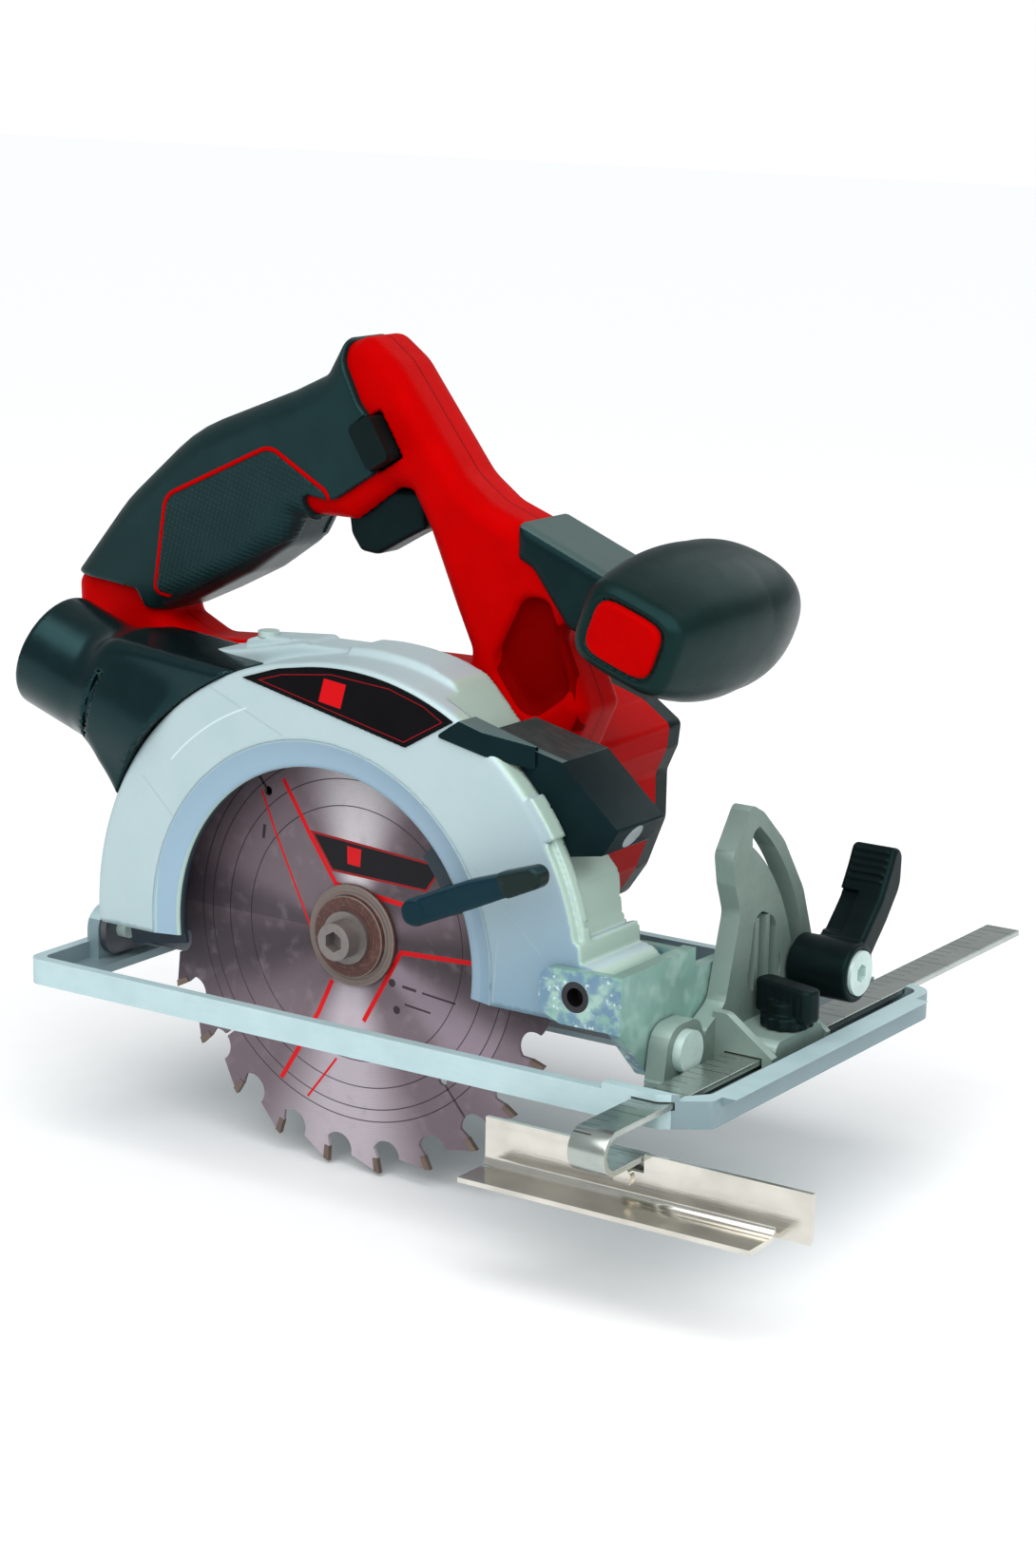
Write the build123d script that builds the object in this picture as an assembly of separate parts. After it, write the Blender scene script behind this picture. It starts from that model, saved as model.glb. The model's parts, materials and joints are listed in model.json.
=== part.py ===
from build123d import *
import math
import os

# Cordless circular saw with a 165 mm blade, as an assembly of separate pieces (millimetres).
#
# Frame: the origin lies on the sole of the base plate, in the blade's mid-plane, below the spindle.
# +X is the cutting direction, +Y points to the motor side, +Z is up. The saw stands at full cutting
# depth, at zero bevel, with the lower guard drawn back.

# ---------------------------------------------------------------- driving dimensions
BLADE_R = 82.5
CUT_DEPTH = 54.0
SPINDLE_Z = BLADE_R - CUT_DEPTH
PLATE_HALF = 0.6
TIP_HALF = 0.9
TEETH = 24
FIRST_TOOTH = -142.2

BASE_X0, BASE_X1 = -113.0, 155.0
BASE_Y0, BASE_Y1 = -37.0, 120.5
BASE_H = 9.0
FLOOR_H = 3.0
RIM_W = 4.0
LIP_X0, LIP_TOP = 121.0, 11.0
TOE_OUT = 5.0
RELIEF_HALF, RELIEF_Y1 = 27.0, 43.5

BEVEL_Y, BEVEL_Z = 0.0, 13.0
BEVEL_SLOT_R = 73.5
BEVEL_START = 9.5
BEVEL_RANGE = 45.0
QUAD_X0, QUAD_X1 = 121.0, 128.0

PIVOT_X, PIVOT_Z = 103.5, 32.0
PIVOT_R = 5.0
DEPTH_RANGE = 27.0
DEPTH_ARC_R = 155.0
DEPTH_START = 178.5

GUARD_R = 94.5
GUARD_SHIFT_X, GUARD_SHIFT_Z = 9.0, 1.5
GUARD_WALL = 4.0
GUARD_Y0, GUARD_Y1 = -22.0, 13.5
GUARD_BOTTOM = 22.0
WINDOW_R = 60.0
WINDOW_RIM_R = 69.0

GEAR_MODULE = 0.9
GEAR_TEETH, PINION_TEETH = 48, 12
MOTOR_DIR = 60.0
CENTRES = GEAR_MODULE * (GEAR_TEETH + PINION_TEETH) / 2
MOTOR_X = CENTRES * math.cos(math.radians(MOTOR_DIR))
MOTOR_Z = SPINDLE_Z + CENTRES * math.sin(math.radians(MOTOR_DIR))
GEAR_Y0, GEAR_Y1 = 24.0, 31.0
GEARBOX_Y0, GEARBOX_Y1 = 13.8, 41.0
GEARBOX_R = 24.8

HANDLE_Y = 31.0
HANDLE_HALF = 13.6
GRIP_HALF = 16.5

KNOB_X, KNOB_Y, KNOB_Z = 111.0, 24.0, 144.0
KNOB_HALF = 42.0
KNOB_R = 24.0
KNOB_END_R = 18.5

BAR_X, BAR_HALF = 138.5, 6.5
BAR_Z0, BAR_Z1 = 6.3, 8.3
BAR_TIP_Y = 207.0
BAR_BEND_Y = -66.0
CLAMP_X, CLAMP_Y = 141.2, 42.0

PORT_RISE = 19.0
PORT_END = (-126.0, -5.0, 110.0)
PORT_OUT_R, PORT_IN_R = 20.5, 17.5
PORT_LENGTH = 38.0

QUAD_SCREWS_Y = (14.0, 62.0)
QUAD_SCREW_X = 136.0
SCREW_SEAT_Z = 4.0
CLAMP_THREAD_R = 3.0
FENCE_Y = -51.0
FENCE_THICK = 1.6
FENCE_X0, FENCE_X1 = 88.0, 203.0
FENCE_TOP, FENCE_FOOT = -3.0, -20.0
FENCE_RIVET_Z = -11.5
FRAME_FRONT_X = 120.4
FRAME_WALL = 4.6
LEG_Y0, LEG_Y1 = -25.8, -22.4
FAR_LEG_Y0, FAR_LEG_Y1 = 15.0, 18.5
DEPTH_ARC_Y0, DEPTH_ARC_Y1 = 14.2, 16.7
DEPTH_LUG_X0 = BASE_X0 + 8.6
LEVER_X0 = QUAD_X1 + 0.6
LEVER_CAP_R = 7.5
BOSS_R = 21.0
GUARD_SCREWS = ((-31.5, 20.5), (31.5, 20.5), (22.0, 58.0), (6.0, 61.0))
LOWER_R = 86.5
LOWER_START, LOWER_END = 20.0, 190.0
LEVER_ANGLE = 26.0
LEVER_ROOT_R = 56.0
LEVER_POST_R = 3.8
LEVER_Y0, LEVER_Y1 = -39.0, -32.0
BEARING_R = 8.0
LOCK_Y = 28.7
LOCK_R = 3.0
SHELL_WALL = 2.5
COVER_Y = 94.0
END_Y = 104.0
HANDLE_SCREWS = ((-124, 115), (-84, 110), (22, 166), (50, 150), (60, 112))
LOCK_OFF_X, LOCK_OFF_Z = -5.0, 191.0
LOCK_OFF_TILT = -32.0
TRIGGER_TOP, SWITCH_FOOT = 168.0, 180.0
SLEEVE_HALF = 15.6
INSET_R = 10.0
LAMP_Y0, LAMP_Y1 = -14.0, 13.0
PORT_SCREW_X, PORT_SCREW_Y = -40.0, 4.0
SHOE_HALF = 14.5
TERMINAL_YS = (26.0, 31.0, 36.0)


# ---------------------------------------------------------------- helpers
def polar(radius, degrees, centre=(0.0, 0.0)):
    """Point at a radius and an angle about a centre."""
    turn = math.radians(degrees)
    return (centre[0] + radius * math.cos(turn), centre[1] + radius * math.sin(turn))


def outline(corners):
    """Closed face from corners (u, v) or (u, v, radius); the radius rounds that corner."""
    count = len(corners)
    joints = []
    for index, corner in enumerate(corners):
        here = Vector(corner[0], corner[1])
        radius = corner[2] if len(corner) > 2 else 0.0
        before = corners[index - 1]
        after = corners[(index + 1) % count]
        to_before = (Vector(before[0], before[1]) - here).normalized()
        to_after = (Vector(after[0], after[1]) - here).normalized()
        half = math.radians(to_before.get_angle(to_after)) / 2
        if radius == 0.0 or half > math.radians(89.5):
            joints.append((here, None, here))
            continue
        reach = radius / math.tan(half)
        middle = (to_before + to_after).normalized() * (radius / math.sin(half) - radius)
        joints.append((here + to_before * reach, here + middle, here + to_after * reach))
    edges = []
    for index, (start, middle, end) in enumerate(joints):
        if middle is not None:
            edges.append(ThreePointArc(start, middle, end))
        following = joints[(index + 1) % count][0]
        if (following - end).length > 1e-4:
            edges.append(Line(end, following))
    return make_face(edges)


def slab_x(face, x0, x1):
    """Extrude a face drawn in (y, z) from x0 to x1."""
    return extrude(Plane(origin=(x0, 0, 0), x_dir=(0, 1, 0), z_dir=(1, 0, 0)) * face, amount=x1 - x0)


def slab_y(face, y0, y1):
    """Extrude a face drawn in (x, z) from y0 to y1."""
    return extrude(Plane(origin=(0, y1, 0), x_dir=(1, 0, 0), z_dir=(0, -1, 0)) * face, amount=y1 - y0)


def slab_z(face, z0, z1):
    """Extrude a face drawn in (x, y) from z0 to z1."""
    return extrude(Pos(0, 0, z0) * face, amount=z1 - z0)


def box(x0, x1, y0, y1, z0, z1):
    """Box between two corners."""
    centre = Pos((x0 + x1) / 2, (y0 + y1) / 2, (z0 + z1) / 2)
    return centre * Box(x1 - x0, y1 - y0, z1 - z0)


def rod_x(radius, x0, x1, y, z):
    """Cylinder along X."""
    return extrude(Plane(origin=(x0, y, z), z_dir=(1, 0, 0)) * Circle(radius), amount=x1 - x0)


def rod_y(radius, y0, y1, x=0.0, z=SPINDLE_Z):
    """Cylinder along Y, about the spindle unless told otherwise."""
    return extrude(Plane(origin=(x, y0, z), z_dir=(0, 1, 0)) * Circle(radius), amount=y1 - y0)


def rod_z(radius, z0, z1, x, y):
    """Cylinder along Z."""
    return Pos(x, y, z0) * extrude(Circle(radius), amount=z1 - z0)


def ring_y(outer, inner, y0, y1, x=0.0, z=SPINDLE_Z):
    """Ring along Y."""
    return rod_y(outer, y0, y1, x, z) - rod_y(inner, y0 - 1, y1 + 1, x, z)


def hex_y(radius, y0, y1, x=0.0, z=SPINDLE_Z):
    """Hexagonal prism along Y."""
    return extrude(Plane(origin=(x, y0, z), z_dir=(0, 1, 0)) * RegularPolygon(radius, 6), amount=y1 - y0)


def sector(radius, start, end, centre=(0.0, SPINDLE_Z)):
    """Pie face in (x, z) from one angle to another, less than a full turn."""
    steps = max(1, math.ceil((end - start) / 60))
    step = (end - start) / steps
    reach = 1.05 * radius / math.cos(math.radians(step / 2))
    points = [centre] + [polar(reach, start + step * index, centre) for index in range(steps + 1)]
    return outline(points) & Pos(centre[0], centre[1]) * Circle(radius)


def stadium(radius):
    """Outline of the upper guard in (x, z): a disc drawn out forwards."""
    rear = Pos(0, SPINDLE_Z) * Circle(radius)
    front = Pos(GUARD_SHIFT_X, SPINDLE_Z + GUARD_SHIFT_Z) * Circle(radius)
    return make_hull(rear.edges() + front.edges())


def capsule(first, first_r, second, second_r):
    """Hull of two discs in (x, z)."""
    near = Pos(first[0], first[1]) * Circle(first_r)
    far = Pos(second[0], second[1]) * Circle(second_r)
    return make_hull(near.edges() + far.edges())


def gear_outline(teeth, module, backlash, phase):
    """Stub involute gear about the local origin; one tooth points at the angle `phase`."""
    pitch = module * teeth / 2
    base = pitch * math.cos(math.radians(20))
    tip = pitch + 0.7 * module
    root = pitch - 1.0 * module
    pitch_turn = math.tan(math.radians(20)) - math.radians(20)
    half_pitch = math.pi / (2 * teeth) - backlash / (2 * pitch)

    def half_width(radius):
        flank = math.acos(min(1.0, base / radius))
        return half_pitch + pitch_turn - (math.tan(flank) - flank)

    start = max(base, root)
    radii = [start + (tip - start) * part / 3 for part in range(4)]
    points = []
    for tooth in range(teeth):
        middle = phase + 360 * tooth / teeth
        turns = [math.degrees(half_width(radius)) for radius in radii]
        points.append(polar(root, middle - turns[0]))
        for radius, turn in zip(radii, turns):
            points.append(polar(radius, middle - turn))
        for radius, turn in zip(reversed(radii), reversed(turns)):
            points.append(polar(radius, middle + turn))
        points.append(polar(root, middle + turns[0]))
    kept = [points[0]]
    for point in points[1:]:
        if math.dist(point, kept[-1]) > 1e-3:
            kept.append(point)
    return outline(kept)


def about(face, x, z):
    """Move a face drawn about the local origin to (x, z)."""
    return Pos(x, z) * face


# ---------------------------------------------------------------- base
def blade_opening():
    """Long opening of the base; both edges slope at 45 degrees so that the tilted guard passes."""
    section = outline([(-34, BASE_H + 1), (-25, 0), (-25, -1), (25, -1), (25, 0), (16, BASE_H), (16, BASE_H + 1)])
    return slab_x(section, -98, QUAD_X0)


def base_plate():
    """Die-cast plate with a raised rim, ribs, a relief under the gearbox, a toe and the rear bevel ear."""
    plan = outline([
        (BASE_X0, BASE_Y0, 5), (BASE_X1 - 14, BASE_Y0, 3), (BASE_X1, BASE_Y0 + 10, 3),
        (BASE_X1, BASE_Y1, 8), (BASE_X0, BASE_Y1, 8)])
    block = slab_z(plan, 0, BASE_H)
    toe = slab_y(outline([(BASE_X1 - 4, 4), (BASE_X1 + TOE_OUT, BASE_H), (BASE_X1 - 4, BASE_H)]), -22, 106)
    near_strip = box(-98, QUAD_X0, BASE_Y0, -24, -1, BASE_H + 1)
    tray_plan = outline([
        (BASE_X0 + RIM_W, BASE_Y0 + RIM_W, 3), (BASE_X1 - 14, BASE_Y0 + RIM_W, 3),
        (BASE_X1 - RIM_W, BASE_Y0 + 16, 3), (BASE_X1 - RIM_W, BASE_Y1 - RIM_W, 5),
        (BASE_X0 + RIM_W, BASE_Y1 - RIM_W, 5)])
    tray = slab_z(tray_plan, FLOOR_H, BASE_H + 1) - near_strip
    ribs = box(-100, 112, 60, 62.4, FLOOR_H, 6) + box(-100, 112, 92, 94.4, FLOOR_H, 6)
    for rib_x in (-70, -10, 50):
        ribs += box(rib_x, rib_x + 2.4, 46, 116.5, FLOOR_H, 6)
    ear = slab_x(outline([(-9, 2), (9, 2), (9, BEVEL_Z + 8, 8), (-9, BEVEL_Z + 8, 8)]), BASE_X0 + 3, BASE_X0 + 8)
    bar_way = box(BAR_X - BAR_HALF - 0.4, BAR_X + BAR_HALF + 0.4, BASE_Y0 - 1, BASE_Y1 + 1, 5.9, BASE_H + 1)
    lip_top = slab_z(plan, BAR_Z1 + 0.4, LIP_TOP) & box(LIP_X0, BASE_X1, BASE_Y0, BASE_Y0 + RIM_W, 0, LIP_TOP)
    plate = (block + toe - tray) + ribs - blade_opening() + ear - bar_way + lip_top
    plate -= box(-RELIEF_HALF, RELIEF_HALF, 10, RELIEF_Y1, -1, FLOOR_H + 1)
    plate -= rod_x(3.02, BASE_X0 - 1, BASE_X0 + 20, BEVEL_Y, BEVEL_Z)
    plate -= rod_x(6.3, BASE_X0 - 1, BASE_X0 + 3, BEVEL_Y, BEVEL_Z)
    for hole_y in QUAD_SCREWS_Y:
        plate -= rod_z(2.5, -1, FLOOR_H + 1, QUAD_SCREW_X, hole_y)
    return plate


def front_casting():
    """Casting riveted to the toe: bevel quadrant, bevel ear and the saddle that holds the guide bar."""
    saddle_top = 13.0
    foot = slab_z(outline([
        (QUAD_X0, -14, 3), (QUAD_X1 + 20, -14, 5), (QUAD_X1 + 20, 58, 8), (QUAD_X1 + 4, 88, 6), (QUAD_X0, 88, 3)]),
        FLOOR_H + 0.02, FLOOR_H + 2.5)
    ear = slab_x(outline([(-12, 4), (14, 4), (10, BEVEL_Z + 9, 7), (-9, BEVEL_Z + 9, 8)]), QUAD_X0, QUAD_X1)
    upright = outline([
        (12, 4), (13, 16, 3), (25, 22, 6), (33, 50, 6), (29, 60, 3), (27, 70, 4), (38, 85, 3),
        (46, 81, 8), (60, 69, 20), (74, 50, 20), (82, 30, 6), (86, 4)])
    window = outline([(38, 22, 5), (62, 22, 5), (56, 44, 8), (43, 50, 5)])
    quadrant = slab_x(upright, QUAD_X0, QUAD_X1) - slab_x(window, QUAD_X0 - 1, QUAD_X1 + 1)
    for rib_y in (44, 51, 58):
        quadrant += box(QUAD_X0, QUAD_X1, rib_y - 1.2, rib_y + 1.2, 20, 46)
    saddle = slab_x(outline([
        (CLAMP_Y - 21, 4), (CLAMP_Y - 18, saddle_top, 4), (CLAMP_Y + 12, saddle_top, 4), (CLAMP_Y + 12, 4)]),
        QUAD_X1 - 1, QUAD_X1 + 20)
    gusset = outline([
        (QUAD_X1 - 1, 4), (QUAD_X1 - 1, 21), (QUAD_X1 + 4, 21, 4), (QUAD_X1 + 21, BASE_H), (QUAD_X1 + 21, 4)])
    near_gusset = slab_y(gusset, CLAMP_Y - 23, CLAMP_Y - 19.5)
    far_gusset = slab_y(gusset, CLAMP_Y + 13, CLAMP_Y + 15.5)
    casting = foot + ear + quadrant + saddle + near_gusset + far_gusset
    arc_slot = ring_sector(BEVEL_SLOT_R + 3.6, BEVEL_SLOT_R - 3.6, BEVEL_START - 1.5, BEVEL_START + BEVEL_RANGE + 1.5)
    casting -= slab_x(about(arc_slot, BEVEL_Y, BEVEL_Z), QUAD_X0 - 1, QUAD_X1 + 1)
    for end in (BEVEL_START, BEVEL_START + BEVEL_RANGE):
        where = polar(BEVEL_SLOT_R, end, (BEVEL_Y, BEVEL_Z))
        casting -= rod_x(3.6, QUAD_X0 - 1, QUAD_X1 + 1, where[0], where[1])
    casting -= rod_x(3.02, QUAD_X0 - 1, QUAD_X1 + 2, BEVEL_Y, BEVEL_Z)
    casting -= box(BAR_X - BAR_HALF - 0.4, BAR_X + BAR_HALF + 0.4, -20, 90, 2, BAR_Z1 + 0.4)
    casting -= rod_z(CLAMP_THREAD_R, 5, saddle_top + 1, CLAMP_X, CLAMP_Y)
    for hole_y in QUAD_SCREWS_Y:
        casting -= rod_z(2.5, 0, FLOOR_H + 4, QUAD_SCREW_X, hole_y)
        casting -= rod_z(4.1, SCREW_SEAT_Z, SCREW_SEAT_Z + 3, QUAD_SCREW_X, hole_y)
    return casting


def ring_sector(outer, inner, start, end):
    """Band between two radii and two angles about the local origin."""
    return sector(outer, start, end, (0, 0)) - Circle(inner)


def bevel_pivot_pins():
    """Front and rear shoulder pins on the bevel axis; each has a flat head."""
    front = rod_x(3.0, FRAME_FRONT_X - 3.4, QUAD_X1, BEVEL_Y, BEVEL_Z)
    front += rod_x(7.0, QUAD_X1, QUAD_X1 + 3, BEVEL_Y, BEVEL_Z)
    rear = rod_x(3.0, BASE_X0 + 3, BASE_X0 + 15, BEVEL_Y, BEVEL_Z)
    rear += rod_x(6.0, BASE_X0 + 0.5, BASE_X0 + 3, BEVEL_Y, BEVEL_Z)
    return [front, rear]


def casting_screws():
    """Two countersunk screws that hold the front casting to the plate."""
    screws = []
    for hole_y in QUAD_SCREWS_Y:
        shank = rod_z(2.45, 0.3, SCREW_SEAT_Z, QUAD_SCREW_X, hole_y)
        screws.append(shank + rod_z(4.0, SCREW_SEAT_Z, SCREW_SEAT_Z + 1.6, QUAD_SCREW_X, hole_y))
    return screws


# ---------------------------------------------------------------- parallel guide
def guide_bar():
    """Flat bar whose near end curls down and back under itself."""
    bend_r = 6.0
    thick = BAR_Z1 - BAR_Z0
    mid_z = BAR_Z1 - thick / 2
    low_z = mid_z - 2 * bend_r
    flat = slab_x(outline([
        (BAR_BEND_Y, BAR_Z0), (BAR_TIP_Y, BAR_Z0), (BAR_TIP_Y, BAR_Z1), (BAR_BEND_Y, BAR_Z1)]),
        BAR_X - BAR_HALF, BAR_X + BAR_HALF)
    half_disc = Pos(BAR_BEND_Y, mid_z - bend_r) * (
        (Circle(bend_r + thick / 2) - Circle(bend_r - thick / 2)) & Pos(-10, 0) * Rectangle(20, 40))
    curl = slab_x(half_disc, BAR_X - BAR_HALF, BAR_X + BAR_HALF)
    tail_end = FENCE_Y + FENCE_THICK + 2 * thick
    tail = slab_x(outline([
        (BAR_BEND_Y, low_z - thick / 2), (tail_end - thick, low_z - thick / 2), (tail_end - thick, low_z - 12),
        (tail_end, low_z - 12), (tail_end, low_z + thick / 2, 2), (BAR_BEND_Y, low_z + thick / 2)]),
        BAR_X - BAR_HALF, BAR_X + BAR_HALF)
    return flat + curl + tail - rod_y(2.0, FENCE_Y, tail_end + 2, BAR_X, FENCE_RIVET_Z)


def guide_fence():
    """Angle strip that runs along the board's edge; its lower leg turns outwards."""
    leg = 15.0
    section = outline([
        (FENCE_Y + FENCE_THICK, FENCE_TOP), (FENCE_Y, FENCE_TOP), (FENCE_Y, FENCE_FOOT + FENCE_THICK, 3),
        (FENCE_Y - leg, FENCE_FOOT + FENCE_THICK), (FENCE_Y - leg, FENCE_FOOT),
        (FENCE_Y + FENCE_THICK, FENCE_FOOT, 4.6)])
    fence = slab_x(section, FENCE_X0, FENCE_X1)
    fence -= box(FENCE_X1 - 12, FENCE_X1 + 1, FENCE_Y - leg - 1, FENCE_Y - 0.01, FENCE_FOOT - 1, FENCE_FOOT + 8)
    tail_gap = box(
        BAR_X - BAR_HALF - 0.5, BAR_X + BAR_HALF + 0.5, FENCE_Y - 1, FENCE_Y + FENCE_THICK + 1, -9, FENCE_TOP + 1)
    return fence - tail_gap - rod_y(2.0, FENCE_Y - 1, FENCE_Y + 4, BAR_X, FENCE_RIVET_Z)


def guide_rivet():
    """Rivet that holds the bar's tail to the fence."""
    inner_face = FENCE_Y + FENCE_THICK + BAR_Z1 - BAR_Z0 + 2.0
    rivet = rod_y(2.0, FENCE_Y, inner_face, BAR_X, FENCE_RIVET_Z)
    rivet += rod_y(3.2, FENCE_Y - 1.2, FENCE_Y, BAR_X, FENCE_RIVET_Z)
    return rivet + rod_y(3.2, inner_face, inner_face + 1, BAR_X, FENCE_RIVET_Z)


def guide_clamp_knob():
    """Wing knob moulded on the screw that presses on the bar."""
    hub_z = 13.5
    hub = rod_z(8.5, hub_z, hub_z + 4, CLAMP_X, CLAMP_Y) + rod_z(6.0, hub_z, hub_z + 8, CLAMP_X, CLAMP_Y)
    wing_plan = Rot(0, 0, -15) * outline([(-12, -4, 3), (12, -4, 3), (12, 4, 3), (-12, 4, 3)])
    wing = slab_z(about(wing_plan, CLAMP_X, CLAMP_Y), hub_z + 3, hub_z + 14)
    return hub + wing + rod_z(CLAMP_THREAD_R - 0.05, BAR_Z1 + 0.5, hub_z, CLAMP_X, CLAMP_Y)


# ---------------------------------------------------------------- bevel frame


def pivot_bracket():
    """Zinc-plated bracket: it straddles the guard's front leg and turns on the bevel axis."""
    leg = outline([(90, 40, 5), (90, 26, 5), (98, 22.5, 3), (FRAME_FRONT_X, 22.5), (FRAME_FRONT_X, 41, 2)])
    near_leg = slab_y(leg, LEG_Y0, LEG_Y1)
    far_leg_face = outline([(94, 40, 8), (94, 22, 8), (106, 10, 5), (FRAME_FRONT_X, 10), (FRAME_FRONT_X, 40)])
    far_leg = slab_y(far_leg_face, FAR_LEG_Y0, FAR_LEG_Y1)
    wall_face = outline([
        (LEG_Y0, 41), (LEG_Y0, 22.5), (-8, 4.5, 6), (8, 4.5, 6), (18.5, 10), (18.5, 18), (69, 17), (74, 33),
        (18.5, 34), (18.5, 41)])
    wall = slab_x(wall_face, FRAME_FRONT_X - FRAME_WALL, FRAME_FRONT_X)
    arm_end = polar(BEVEL_SLOT_R, BEVEL_START, (BEVEL_Y, BEVEL_Z))
    wall += rod_x(9.0, FRAME_FRONT_X - FRAME_WALL, FRAME_FRONT_X, arm_end[0], arm_end[1])
    bracket = near_leg + far_leg + wall
    bracket -= rod_y(PIVOT_R, LEG_Y0 - 1, 20, PIVOT_X, PIVOT_Z)
    bracket -= rod_x(3.04, FRAME_FRONT_X - 10, FRAME_FRONT_X + 1, BEVEL_Y, BEVEL_Z)
    bolt = polar(BEVEL_SLOT_R, BEVEL_START, (BEVEL_Y, BEVEL_Z))
    return bracket - rod_x(3.0, FRAME_FRONT_X - 10, FRAME_FRONT_X + 1, bolt[0], bolt[1])


def depth_pivot_pin():
    """Pin across the bracket, flush at both ends, with a hollow near end; the guard's leg turns on it."""
    pin = rod_y(PIVOT_R, LEG_Y0, FAR_LEG_Y1, PIVOT_X, PIVOT_Z)
    return pin - rod_y(3.0, LEG_Y0 - 1, LEG_Y0 + 6, PIVOT_X, PIVOT_Z)


def depth_guide():
    """Sheet-steel arc behind the guard; its foot bends round to the rear bevel pin."""
    centre = (PIVOT_X, PIVOT_Z)
    band = sector(DEPTH_ARC_R + 7, DEPTH_START - DEPTH_RANGE - 2.5, DEPTH_START + 10, centre)
    band -= Pos(PIVOT_X, PIVOT_Z) * Circle(DEPTH_ARC_R - 7)
    slot = sector(DEPTH_ARC_R + 3.1, DEPTH_START - DEPTH_RANGE, DEPTH_START, centre)
    slot -= Pos(PIVOT_X, PIVOT_Z) * Circle(DEPTH_ARC_R - 3.1)
    for end in (DEPTH_START - DEPTH_RANGE, DEPTH_START):
        where = polar(DEPTH_ARC_R, end, centre)
        slot += Pos(where[0], where[1]) * Circle(3.1)
    foot = outline([(DEPTH_LUG_X0, 4.2), (-40, 4.2, 3), (-40, 12, 3), (-60, 18, 6), (DEPTH_LUG_X0, 18)])
    arc = slab_y(band + foot - slot, DEPTH_ARC_Y0, DEPTH_ARC_Y1)
    lug_face = outline([(-8.5, 4.5, 6), (DEPTH_ARC_Y1, 4.5), (DEPTH_ARC_Y1, 18), (-8.5, 21.5, 6)])
    lug = slab_x(lug_face, DEPTH_LUG_X0, DEPTH_LUG_X0 + 2.5)
    return arc + lug - rod_x(3.04, DEPTH_LUG_X0 - 1, DEPTH_LUG_X0 + 4, BEVEL_Y, BEVEL_Z)


def bevel_bolt():
    """Bolt fixed in the bracket's arm; it slides along the quadrant's slot."""
    where = polar(BEVEL_SLOT_R, BEVEL_START, (BEVEL_Y, BEVEL_Z))
    bolt = rod_x(3.0, FRAME_FRONT_X - FRAME_WALL, LEVER_X0 + 14, where[0], where[1])
    return bolt + rod_x(5.5, FRAME_FRONT_X - FRAME_WALL - 3, FRAME_FRONT_X - FRAME_WALL, where[0], where[1])


def bevel_lever():
    """Clamp lever: a barrel on the bevel bolt and a broad, curved paddle that leans away from the blade."""
    where = polar(BEVEL_SLOT_R, BEVEL_START, (BEVEL_Y, BEVEL_Z))
    barrel = rod_x(10.0, LEVER_X0, LEVER_X0 + 22, where[0], where[1])
    arm_face = outline([
        (-2, 4), (7.5, 9, 4), (19, 20, 8), (24.5, 29, 10), (28, 36, 2.5), (33.5, 34.5, 4), (33, 22, 10),
        (24, 11.5, 10), (13, 1, 6), (4, -4)])
    arm = slab_x(about(arm_face, where[0], where[1]), LEVER_X0 + 2.9, LEVER_X0 + 19.4)
    lever = barrel + arm
    lever -= rod_x(3.1, LEVER_X0 - 1, LEVER_X0 + 14.2, where[0], where[1])
    return lever - rod_x(LEVER_CAP_R, LEVER_X0 + 18, LEVER_X0 + 23, where[0], where[1])


def bevel_lever_screw():
    """Cap screw in the lever's end, with a hexagon socket."""
    where = polar(BEVEL_SLOT_R, BEVEL_START, (BEVEL_Y, BEVEL_Z))
    cap = rod_x(LEVER_CAP_R, LEVER_X0 + 18, LEVER_X0 + 23, where[0], where[1])
    socket = Plane(origin=(LEVER_X0 + 20, where[0], where[1]), z_dir=(1, 0, 0)) * RegularPolygon(3.2, 6)
    return cap - extrude(socket, amount=5)


def depth_bolt():
    """Bolt fixed in the guard's back wall; it runs in the depth guide's slot."""
    where = polar(DEPTH_ARC_R, DEPTH_START, (PIVOT_X, PIVOT_Z))
    return rod_y(2.9, GUARD_Y1 - 3, 28, where[0], where[1])


def depth_lever():
    """Rear clamp lever on the depth bolt."""
    where = polar(DEPTH_ARC_R, DEPTH_START, (PIVOT_X, PIVOT_Z))
    face = outline([(8, -9, 8), (8, 9, 8), (-20, 10, 8), (-52, 26, 6), (-56, 16, 5), (-24, -4, 8), (-8, -9, 8)])
    lever = slab_y(about(face, where[0], where[1]), DEPTH_ARC_Y1 + 0.4, 27)
    return lever - rod_y(2.95, 10, 40, where[0], where[1])


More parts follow.
